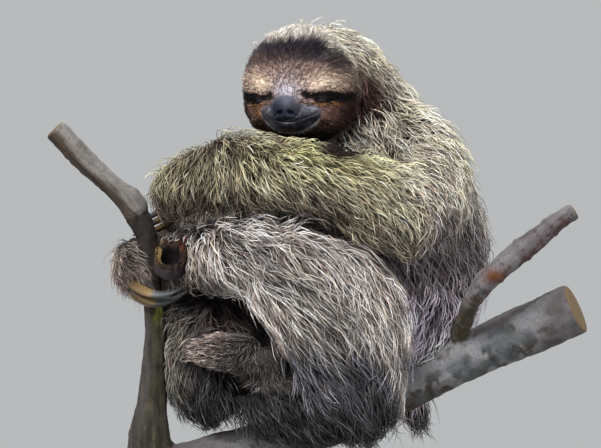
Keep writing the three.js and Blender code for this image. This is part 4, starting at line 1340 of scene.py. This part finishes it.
# root, bend and tip of each claw's path
clawPaths = {
    "left_foot": [[(-147, -42, 256), (-124, -71, 238), (-102, -55, 252)],
                  [(-144, -40, 250), (-122, -61, 230), (-98, -45, 249)],
                  [(-147, -33, 248), (-127, -52, 230), (-107, -37, 243)]],
    "right_foot": [[(-14 + 9 * k, -44, 174 - k), (-6 + 9 * k, -44, 146), (-10 + 9 * k, -37, 122 + 2 * k)]
                   for k in (0, 1, 2)],
    "left_hand": [[(-113, -17, 328 - 9 * k), (-124, 17, 314 - 7 * k), (-147, 0, 309 - 6 * k)]
                  for k in (0, 1, 2)],
    "right_hand": [[(-112, 38, 297 - 11 * k), (-134, 47, 296 - 11 * k), (-148, 26, 288 - 10 * k)]
                   for k in (0, 1, 2)],
}


# horn, streaked along its length
def clawMaterial():
    look = Look("claw_horn", clawLook)
    along = look.attribute("along", "Fac")
    place = look.attribute("hornSpot", "Vector")
    streak = look.noise(place, clawLook["streakScale"], 6.0, 0.6, (0.8, 4.0, 4.0))
    base, lines = look.ramp(along, clawLook["horn"]), look.ramp(streak, clawLook["streaks"])
    look.set(Base_Color=look.blend(clawLook["streakShare"], base, lines, "MULTIPLY"))
    look.bump(streak)
    return look.material


# an egg-shaped section, ridged along its top and grooved below, carried on a bent path and drawn in
# to a blunt tip
def makeClaw(name, corners, material):
    a, b, c = (vec(*corner) for corner in corners)
    t = np.linspace(0.0, 1.0, clawShape["rings"])[:, None]
    path = (1 - t) ** 2 * a + 2 * t * (1 - t) * b + t ** 2 * c
    along = unit(2 * (1 - t) * (b - a) + 2 * t * (c - b))
    side = unit(np.cross(along, unit(b - (a + c) / 2.0)))
    out = np.cross(side, along)
    size = 1.0 - clawShape["taper"] * t ** clawShape["power"]
    spokes = clawShape["spokes"]
    turn = fullTurn(spokes)[None]
    section = 1.0 - clawShape["groove"] * np.exp(-((turn - 1.5 * math.pi) / 0.5) ** 2)
    section = size * (section + clawShape["lines"] * np.cos(turn * 2.0))
    across = section * clawShape["halfWidth"] * np.cos(turn)
    high = section * clawShape["halfHeight"] * np.sin(turn)
    rings = path[:, None] + side[:, None] * across[..., None] + out[:, None] * high[..., None]
    ends = (a - along[0] * clawShape["rootOver"], c + along[-1] * clawShape["tipOver"])
    claw = ringedPiece(name + "_horn", rings, ends, material, "claw_horn", name)
    giveNumber(claw, "along", perRing(t.ravel(), spokes))
    where = (np.repeat(t.ravel(), spokes), np.tile(np.cos(turn[0]), len(t)),
             np.tile(np.sin(turn[0]), len(t)))
    giveVector(claw, "hornSpot", np.concatenate((np.stack(where, 1), ((0.0, 0.0, 0.0), (1.0, 0.0, 0.0)))))


horn = clawMaterial()
for limb, claws in clawPaths.items():
    for number, corners in enumerate(claws):
        makeClaw(f"{limb}_claw_{number + 1}", corners, horn)
print("claws made")


# the cut branches

perch = {"box": ((-232.0, -112.0, 56.0), (252.0, 20.0, 404.0), 1.4), "band": (9.0, 9.0), "fillet": 8.0,
         "shrink": 0.2,
         # height, size and seed of each roughness: lumps, knots and grit
         "rough": ((1.5, 26.0, 41), (0.5, 6.0, 42), (0.3, 3.0, 43)),
         "ribs": 0.9, "buds": 0.9, "budGap": 31.0, "knob": 2.2, "knobAt": vec(163.0, -95.0, 262.0),
         "crackDepth": 2.0, "crackWidth": 0.9, "limbStreaks": 0.35,
         "crack": ((160, -50, 196), (158, -50, 186), (162, -48, 178), (158, -40, 170))}
branchPaths = {
    "perch_limb": ((-126, -26, 80), (35, -12, 136), (108, -18, 171), (158, -28, 197), (220, -44, 224),
                   (240, -49, 233)),
    "perch_upright": ((-127, -28, 66), (-130, -28, 190), (-131, -28, 311)),
    "perch_upper_branch": ((-143, -26, 318), (-214, -32, 390)),
    "perch_side_branch": ((138, -36, 210), (142, -52, 222), (148, -73, 238), (158, -86, 256),
                          (176, -88, 272), (194, -87, 287), (220, -86, 308), (236, -85, 318)),
}
barkPaint = {
    "pale": srgb(112, 111, 114), "mauve": srgb(72, 65, 68), "grey": srgb(66, 61, 61),
    "brown": srgb(51, 40, 29), "dark": srgb(27, 20, 17), "spot": srgb(48, 42, 29), "olive": srgb(56, 51, 32),
    "moss": srgb(101, 106, 45), "lichen": srgb(75, 80, 82), "lichenDark": srgb(59, 68, 74),
    # trunk: the upright's brown-olive, darkened partly as painted shade
    "beige": srgb(94, 86, 76), "trunk": srgb(40, 36, 22), "red": srgb(58, 32, 24), "rust": srgb(81, 47, 25),
    # hollow: near-black, a painted shade inside the stub
    "flake": srgb(71, 65, 54), "wall": srgb(53, 47, 50), "ochre": srgb(105, 82, 49),
    "hollow": srgb(14, 9, 8), "torn": srgb(37, 26, 18), "splinter": srgb(72, 38, 24),
    "sawn": srgb(103, 84, 58),
}


# distance to a chain of places, the length along it and the foot of the perpendicular
def nearPath(points, path):
    path = [vec(*p) for p in path]
    best, along, foot = np.full(len(points), farAway), np.zeros(len(points)), np.zeros_like(points)
    done = 0.0
    for a, b in zip(path[:-1], path[1:]):
        length = np.linalg.norm(b - a)
        t = np.clip((points - a) @ (b - a) / length ** 2, 0.0, 1.0)
        here = a + t[:, None] * (b - a)
        gap = np.linalg.norm(points - here, axis=1)
        nearer = gap < best
        along = np.where(nearer, done + t * length, along)
        foot = np.where(nearer[:, None], here, foot)
        best = np.minimum(best, gap)
        done += length
    return best, along, foot


# places in the branches straightened out: along, and across two ways; and how sawn the surface is
def alongGrain(points, normals, which):
    grain, rings, sawn = np.zeros_like(points), np.zeros(len(points)), np.zeros(len(points))
    for number, path in enumerate(branchPaths.values()):
        gap, along, foot = nearPath(points, path)
        way = unit(vec(*path[-1]) - vec(*path[0]))
        side = unit(np.cross(way, (0.1, 1.0, 0.2)))
        away = points - foot
        mine = which == number
        straight = np.stack((along + number * 700.0, away @ side, away @ np.cross(way, side)), 1)
        grain = np.where(mine[:, None], straight, grain)
        for end, inner in ((path[0], path[1]), (path[-1], path[-2])):
            out = unit(vec(*end) - vec(*inner))
            flat = ramp(normals @ out, 0.75, 0.92) * ramp((points - vec(*end)) @ out, -4.0, -1.5)
            sawn = np.maximum(sawn, flat * mine)
        rings = np.where(mine, gap, rings)
    return grain, rings, sawn


# bark colours by branch: lichen, moss, stains and worn places laid over a pale ground
def barkColours(points, normals, which, grain):
    patches = ((22.0, 31), (8.0, 32), (3.0, 33))
    coarse, middle, fine = (softNoise(points, size, seed) for size, seed in patches)
    streak = softNoise(grain * vec(0.16, 1.0, 1.0), 2.6, 35)
    x, z = points[:, 0], points[:, 2]
    nx, nz = normals[:, 0], normals[:, 2]
    limb, upright, upper, spur = (which == k for k in range(4))
    low = limb * ramp(x, 40.0, 110.0) * ramp(-nz + 0.25 * coarse, -0.45, 0.1)
    plate = ramp(softNoise(points, 15.0, 34) + 0.4 * middle + 0.15 * fine, -0.2, 0.35)
    darker = ramp(softNoise(points, 10.0, 36), -0.1, 0.5)
    mossy = np.exp(-((z - 232.0) / 9.0) ** 2) * ramp(nx + 0.5 * middle, -0.3, 0.3)
    flaky = np.exp(-((z - 234.0) / 7.0) ** 2) * ramp(-nx, 0.2, 0.7)
    # below: where the branch faces down, which takes a painted shade
    below = ramp(-nz - 0.5 * nx + 0.3 * coarse + 0.2 * streak, -0.1, 0.45)
    return layOver(np.repeat(barkPaint["pale"][None], len(points), 0), barkPaint, (
        ("mauve", ramp(coarse + 0.6 * middle, -0.1, 0.6) * 0.75),
        ("grey", ramp(middle + 0.8 * fine, 0.35, 0.9) * 0.6),
        # the limb: mauve-grey on its left, brown below as painted shade, plates of lichen low on its right
        # with stains between
        ("grey", limb * ramp(-x + 8.0 * coarse, 30.0, 90.0) * 0.8),
        # painted shade on the limb's underside
        ("brown", limb * ramp(-nz + 0.4 * coarse, 0.1, 0.7) * ramp(-x, -150.0, -100.0) * 0.9),
        ("spot", low * ramp(middle + 0.4 * fine + 0.3 * coarse, -0.1, 0.35) * 0.85),
        ("lichen", low * plate * 0.75),
        ("lichenDark", low * plate * darker * 0.4),
        ("dark", limb * ramp(middle + 0.7 * fine, 0.8, 1.2) * 0.6),
        ("grey", limb * ramp(x + 8.0 * coarse, 175.0, 235.0) * 0.7),
        # the upright: brown-olive, darkened partly as painted shade, paler along its left as painted light,
        # moss and flakes below the claws, and a painted shadow above them
        ("trunk", upright * 0.95),
        ("dark", upright * ramp(streak + 0.5 * middle, 0.1, 0.6) * 0.7),
        ("flake", upright * ramp(streak * -1.0 + 0.4 * fine, 0.35, 0.7) * 0.45),
        # painted light on the upright's left side
        ("grey", upright * ramp(-nx + 0.4 * coarse, 0.2, 0.8) * 0.6),
        ("moss", upright * mossy * 1.2),
        ("flake", upright * flaky),
        # painted shadow on the upright above the claws
        ("dark", upright * ramp(z, 240.0, 250.0) * 0.75),
        # the upper branch is beige above, brown and streaked below, that brown and dark a painted shade on
        # its underside
        ("beige", upper * 0.55),
        ("brown", upper * below * 0.85),
        ("dark", upper * below * ramp(streak, 0.1, 0.5) * 0.6),
        # the side branch: mauve, specked dark red along its lower edge, with a rusty place and an olive foot
        ("mauve", spur * 0.5),
        ("red", spur * ramp(fine + 0.5 * middle - nz * 0.7, 0.1, 0.6) * 0.7),
        ("rust", spur * hill(x, z, 167.0, 262.0, 9.0, 6.0) * 1.2),
        ("olive", spur * ramp(-z, -250.0, -228.0) * 0.75),
    ))


# how far apart the bark's patterns are, their stops, and how strongly each is laid on
barkLook = {
    "roughness": 0.85, "specular": 0.25, "bump": 0.6, "bumpDepth": 0.0014,
    "speckScale": 520.0, "specks": [(0.36, 0.46), (0.46, 0.95), (0.7, 1.15)], "speckShare": 0.8,
    "streakScale": 170.0, "streaks": [(0.34, 0.66), (0.52, 1.04), (0.7, 1.12)],
    "crackScale": 80.0, "crackBend": 0.06, "cracks": [(0.0, 0.62), (0.04, 1.0)], "crackShare": 0.5,
    "yearScale": 0.9, "years": [(0.38, 0.45), (0.5, 1.0), (0.65, 1.2)],
}


# painted colours broken by fine specks, lengthwise streaks and hair cracks, with rings on sawn ends
def barkMaterial():
    look = Look("grey_bark", barkLook)
    spot = look.spot()
    speck = look.noise(spot, barkLook["speckScale"], 6.0, 0.7)
    grain = look.attribute("grainSpot", "Vector")
    streak = look.noise(grain, barkLook["streakScale"], 6.0, 0.65, (0.15, 1.0, 1.0))
    streaks = look.ramp(streak, barkLook["streaks"])
    edges = look.cellEdges(look.blend(barkLook["crackBend"], spot, streak), barkLook["crackScale"])
    cracks = look.ramp(edges, barkLook["cracks"])
    painted = look.attribute("barkColour")
    final = look.blend(barkLook["speckShare"], painted, look.ramp(speck, barkLook["specks"]), "MULTIPLY")
    streaked = look.blend(1.0, final, streaks, "MULTIPLY")
    final = look.blend(look.attribute("streaky", "Fac"), final, streaked)
    final = look.blend(barkLook["crackShare"], final, cracks, "MULTIPLY")
    pair = look.add("CombineXYZ")
    look.feed(pair.inputs["X"], look.attribute("ringAt", "Fac"))
    year = look.noise(pair.outputs["Vector"], barkLook["yearScale"], 3.0, 0.6)
    years = look.ramp(year, [(place, barkPaint["sawn"] * tone) for place, tone in barkLook["years"]])
    look.set(Base_Color=look.blend(look.attribute("sawn", "Fac"), final, years))
    look.bump(look.blend(0.4, speck, look.blend(0.5, streak, cracks)))
    return look.material


# the CAD lengths measured as distances, rounded together where they fork, then roughened
def makePerch():
    wood = Field(*perch["box"])
    each = [wood.measure(*cadArrays(name), *perch["band"]) for name in branchPaths]
    which = np.argmin(np.stack(each), axis=0)
    joined = each[0]
    for more in each[1:]:
        # a rounded union: near both surfaces the two distances are blended
        blend = np.clip(0.5 + 0.5 * (joined - more) / perch["fillet"], 0.0, 1.0)
        joined = mix(joined, more, blend) - perch["fillet"] * blend * (1.0 - blend)
    wood.values = blur(joined.astype(np.float32), 2)
    points, quads = wood.surface(wood.values - perch["shrink"])
    normals = wood.slope(points)
    near = wood.nearest(points, which)
    grain, rings, sawn = alongGrain(points, normals, near)
    push = sum(high * softNoise(points, size, seed) for high, size, seed in perch["rough"])
    # ribs along the upright, rings of old buds on the side branch, and a knob where it bends
    push += (near == 1) * perch["ribs"] * softNoise(grain * vec(0.12, 1.0, 1.0), 3.0, 44)
    push += (near == 3) * perch["buds"] * np.exp(-((np.mod(grain[:, 0], perch["budGap"]) - 15.0) / 2.0) ** 2)
    push += perch["knob"] * np.exp(-((points - perch["knobAt"]) ** 2).sum(1) / 40.0)
    # one long crack across the limb
    gap = nearPath(points, perch["crack"])[0]
    push -= perch["crackDepth"] * np.exp(-(gap / perch["crackWidth"]) ** 2)
    # the crack's inside darkened as painted shade
    colours = barkColours(points, normals, near, grain) * mix(1.0, 0.3, ramp(-gap, -1.6, -0.4))[:, None]
    moved = points + normals * (push * (1.0 - sawn))[:, None]
    branch = makeMesh("cut_branch", moved, facesOutward(points, quads), bark)
    giveColour(branch, "barkColour", colours)
    giveVector(branch, "grainSpot", grain * metresPerMm)
    giveNumber(branch, "ringAt", rings)
    giveNumber(branch, "sawn", sawn)
    giveNumber(branch, "streaky", np.where(near == 0, perch["limbStreaks"], 1.0))
    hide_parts(*branchPaths)
    print("branch", len(quads) * 2, "triangles")


tornStub = {"spokes": 180, "hollow": 17.0, "wall": 5.2, "slant": 5.0, "rim": 3.0, "splinter": 13.0,
            # rings up the outer wall, over the rim and down inside
            "outerRings": 26, "rimRings": 12, "innerRings": 22, "girth": 14.0}


# how near an angle is to a middle one: 1 there, falling away over a width
def nearAngle(angle, middle, width):
    return np.exp(-(np.abs(np.angle(np.exp(1j * (angle - middle)))) / width) ** 2)


# the stub's rings: how far up the wall, share of the radius, how much of the rim they are, and how far
# they are from the outside, at 0, to the inside, at 1
def stubProfile():
    counts = (tornStub["outerRings"], tornStub["rimRings"], tornStub["innerRings"])
    outer, top, inner = (np.linspace(0.0, 1.0, n) for n in counts)
    inner = 1.0 - inner
    thin = 1.0 - tornStub["wall"] / stubShape["radius"]
    up = np.concatenate((outer, np.ones(counts[1]), inner))
    share = np.concatenate((mix(1.0, 0.97, outer), mix(0.97, thin, top), thin - 0.28 * (1.0 - inner) ** 2))
    edge = np.concatenate((outer ** 3, 1.0 - 0.35 * top, 0.65 * inner ** 3))
    inward = np.concatenate((np.zeros(counts[0]), top, np.ones(counts[2])))
    return up, share, edge, inward


# a hollow broken branch: up its outer wall, over the thick torn rim and down inside; the rim's height is
# a slanted cut with slow waves, ragged plates and upright blades on the right
def makeStub():
    foot, axis, radius, length = (stubShape[k] for k in ("foot", "axis", "radius", "length"))
    deep, girth = tornStub["hollow"], tornStub["girth"]
    across = unit(np.cross((0.0, 0.0, 1.0), axis))
    rise = np.cross(axis, across)
    profile = stubProfile()
    ring, turn = np.meshgrid(np.arange(len(profile[0])), fullTurn(tornStub["spokes"]), indexing="ij")
    up, share, edge, inward = (values[ring] for values in profile)
    circle = np.stack((girth * np.cos(turn), girth * np.sin(turn), inward * 7.0), -1).reshape(-1, 3)
    plates = (2.2 * softNoise(circle, 3.4, 51) + 1.7 * softNoise(circle, 1.5, 52)).reshape(ring.shape)
    blades = (nearAngle(turn, 0.30, 0.16) * ramp(0.6 - inward, 0.0, 0.3)
              + 0.8 * nearAngle(turn, 0.75, 0.14) * ramp(inward, 0.0, 0.3)
              + 0.6 * nearAngle(turn, -0.15, 0.12) * ramp(0.7 - inward, 0.0, 0.3))
    waves = np.sin(turn + 1.0) + 0.6 * np.sin(3.0 * turn)
    tear = tornStub["slant"] * np.sin(turn) + tornStub["rim"] * waves + tornStub["splinter"] * blades + plates
    high = up * deep + length - deep + edge * tear
    ribs = softNoise(np.stack((turn * 6.0, high * 0.2, inward * 3.0), -1).reshape(-1, 3), 1.2, 54)
    wide = radius * share + 0.4 * ribs.reshape(ring.shape) + 0.8 * (edge > 0.2) * plates * 0.4
    rings = (foot + high[..., None] * axis + (wide * np.cos(turn))[..., None] * across
             + (wide * np.sin(turn))[..., None] * rise)
    ends = (foot + axis * (length - deep - 1.0), foot + axis * (length - deep + 1.0))
    stub = ringedPiece("torn_stub", rings, ends, bark, "bark", "perch_stub")
    measures = (values.ravel() for values in (ring, turn, up, edge, inward, high))
    paintStub(stub, rings.reshape(-1, 3), *measures)
    print("stub made")


# smooth mauve-grey wall, a dark ragged rim with ochre plates on its left and painted shade between them,
# red-brown blades, a hollow painted near-black as painted shade
def paintStub(stub, spots, ring, angle, up, rim, within, high):
    flecks, chips = softNoise(spots, 2.0, 55), softNoise(spots * vec(1.0, 1.0, 0.5), 1.6, 57)
    lastOfRim = tornStub["outerRings"] + tornStub["rimRings"] - 1
    # the hollow's inside, painted near-black as painted shade
    hollow = (ring > lastOfRim) * ramp(1.0 - up, 0.0, 0.25)
    torn = ramp(rim + 0.10 * flecks, 0.45, 0.62) * (1.0 - hollow)
    left, right = nearAngle(angle, 2.9, 0.85), nearAngle(angle, 0.35, 0.55)
    strips = ramp(softNoise(np.stack((angle * 9.0, high * 0.12, within), -1), 1.4, 58), -0.4, 0.3)
    stains = ramp(softNoise(spots, 9.0, 56) + 0.5 * flecks, 0.2, 0.8)
    colour = mix(barkPaint["wall"], barkPaint["dark"], stains[:, None] * 0.5)
    colour = layOver(colour, barkPaint, (
        ("splinter", nearAngle(angle, 0.15, 0.6) * strips * ramp(rim, 0.02, 0.12)),
        ("dark", nearAngle(angle, 0.15, 0.75) * (1.0 - strips)),
        ("torn", torn),
        ("ochre", torn * ramp(chips + left * 0.9 - 0.35, 0.0, 0.35) * (0.08 + left)),
        ("splinter", torn * right * ramp(flecks, -0.7, 0.2)),
        # painted shade in the gaps between the rim's plates
        ("hollow", torn * ramp(-chips, 0.25, 0.6) * 0.8),
        ("hollow", hollow),
    ))
    # the end points: the wall outside and the hollow's painted shade inside
    giveColour(stub, "barkColour", np.concatenate((colour, (barkPaint["wall"], barkPaint["hollow"]))))
    girth = tornStub["girth"]
    grain = np.stack((high, girth * np.cos(angle), girth * np.sin(angle)), 1) * metresPerMm
    giveVector(stub, "grainSpot", np.concatenate((grain, np.zeros((2, 3)))))
    giveNumber(stub, "streaky", np.concatenate((torn * 0.8 + 0.1, (0.0, 0.0))))
    for name in ("sawn", "ringAt"):
        giveNumber(stub, name, np.zeros(len(spots) + 2))


bark = barkMaterial()
makePerch()
makeStub()


# the display stand

stand = {"half": (170.0, 118.0), "height": 20.0, "corner": 60.0, "bevel": 3.0, "bevelSteps": 9,
         "baseSpokes": 192, "rodRadius": 6.0, "collarRadius": 10.5, "collarHeight": 5.0, "rodSpokes": 64,
         "rods": {"left": (-78.0, -16.0, 95.0), "right": (62.0, -14.0, 144.0)}}
woodLook = {"dark": srgb(38, 24, 16), "light": srgb(74, 47, 30), "roughness": 0.36, "specular": 0.5,
            "varnish": 0.25, "varnishRough": 0.2, "ringScale": 30.0, "poreScale": 240.0,
            "pores": [(0.35, 0.55), (0.55, 1.0)], "poreShare": 0.7, "bump": 0.15, "bumpDepth": 0.0004}
steelLook = {"colour": vec(0.62, 0.63, 0.64), "roughness": 0.32, "specular": 0.5, "brushScale": 60.0,
             "roughStops": [(0.3, 0.40), (0.7, 0.26)], "bump": 0.08, "bumpDepth": 0.0002}


# dark stained wood: rings stretched along its length with fine pores
def woodMaterial():
    look = Look("stained_wood", woodLook,
                Coat_Weight=woodLook["varnish"], Coat_Roughness=woodLook["varnishRough"])
    spot, dark, light = look.spot(), woodLook["dark"], woodLook["light"]
    rings = look.noise(spot, woodLook["ringScale"], 8.0, 0.6, (0.6, 9.0, 9.0))
    pores = look.noise(spot, woodLook["poreScale"], 4.0, 0.6, (0.25, 6.0, 6.0))
    grain = look.ramp(rings, [(0.3, dark), (0.52, light), (0.75, dark * 1.4)])
    pit = look.ramp(pores, woodLook["pores"])
    look.set(Base_Color=look.blend(woodLook["poreShare"], grain, pit, "MULTIPLY"))
    look.bump(pores)
    return look.material


# brushed steel: fine scratches round the rods
def steelMaterial():
    look = Look("brushed_steel", steelLook, Metallic=1.0)
    brush = look.noise(look.spot(), steelLook["brushScale"], 5.0, 0.6, (1.0, 1.0, 60.0))
    tone = look.ramp(brush, [(0.3, steelLook["colour"] * 0.82), (0.7, steelLook["colour"])])
    look.set(Base_Color=tone, Roughness=look.ramp(brush, steelLook["roughStops"]))
    look.bump(brush)
    return look.material


# a rounded oblong drawn in by each inset, at each height
def makeBase():
    corner, bevel, height = stand["corner"], stand["bevel"], stand["height"]
    curve = np.linspace(0.0, math.pi / 2.0, stand["bevelSteps"])
    inset = np.concatenate(((bevel + 24.0, bevel + 1.0, 1.0, 0.3, 0.0, 0.0), bevel * (1.0 - np.cos(curve)),
                            (bevel + 1.0, bevel + 24.0)))
    z = np.concatenate(((0.0, 0.0, 0.0, 0.3, 1.0, 2.0), height - bevel + bevel * np.sin(curve),
                        (height, height)))
    turn = fullTurn(stand["baseSpokes"]) + 0.01
    halfX, halfY = (half - corner for half in stand["half"])
    reach = (corner - inset)[:, None]
    rings = np.stack((halfX * np.sign(np.cos(turn)) + reach * np.cos(turn),
                      halfY * np.sign(np.sin(turn)) + reach * np.sin(turn),
                      z[:, None] * np.ones_like(turn)), axis=-1)
    ends = ((0.0, 0.0, 0.0), (0.0, 0.0, height))
    ringedPiece("display_base", rings, ends, woodMaterial(), "stand_wood", "stand_base")


# a rod turned from the base up, with a collar at its foot
def makeRod(side, material):
    x, y, top = stand["rods"][side]
    foot, rod = stand["height"], stand["rodRadius"]
    collar, tall = stand["collarRadius"], stand["collarHeight"]
    profile = np.array((
        (collar, 0.0), (collar, 0.4), (collar, tall - 1.2), (collar - 0.35, tall - 0.35),
        (collar - 1.2, tall), (rod + 0.6, tall), (rod, tall + 0.2), (rod, tall + 1.0), (rod, top - foot)))
    turn = fullTurn(stand["rodSpokes"])
    r, z = profile[:, :1], profile[:, 1:] + foot
    rings = np.stack((x + r * np.cos(turn), y + r * np.sin(turn), z * np.ones_like(turn)), axis=-1)
    ends = ((x, y, foot), (x, y, top))
    ringedPiece("display_rod_" + side, rings, ends, material, "stand_steel", "stand_rod_" + side)


brushedSteel = steelMaterial()
makeBase()
makeRod("left", brushedSteel)
makeRod("right", brushedSteel)
print("stand finished")
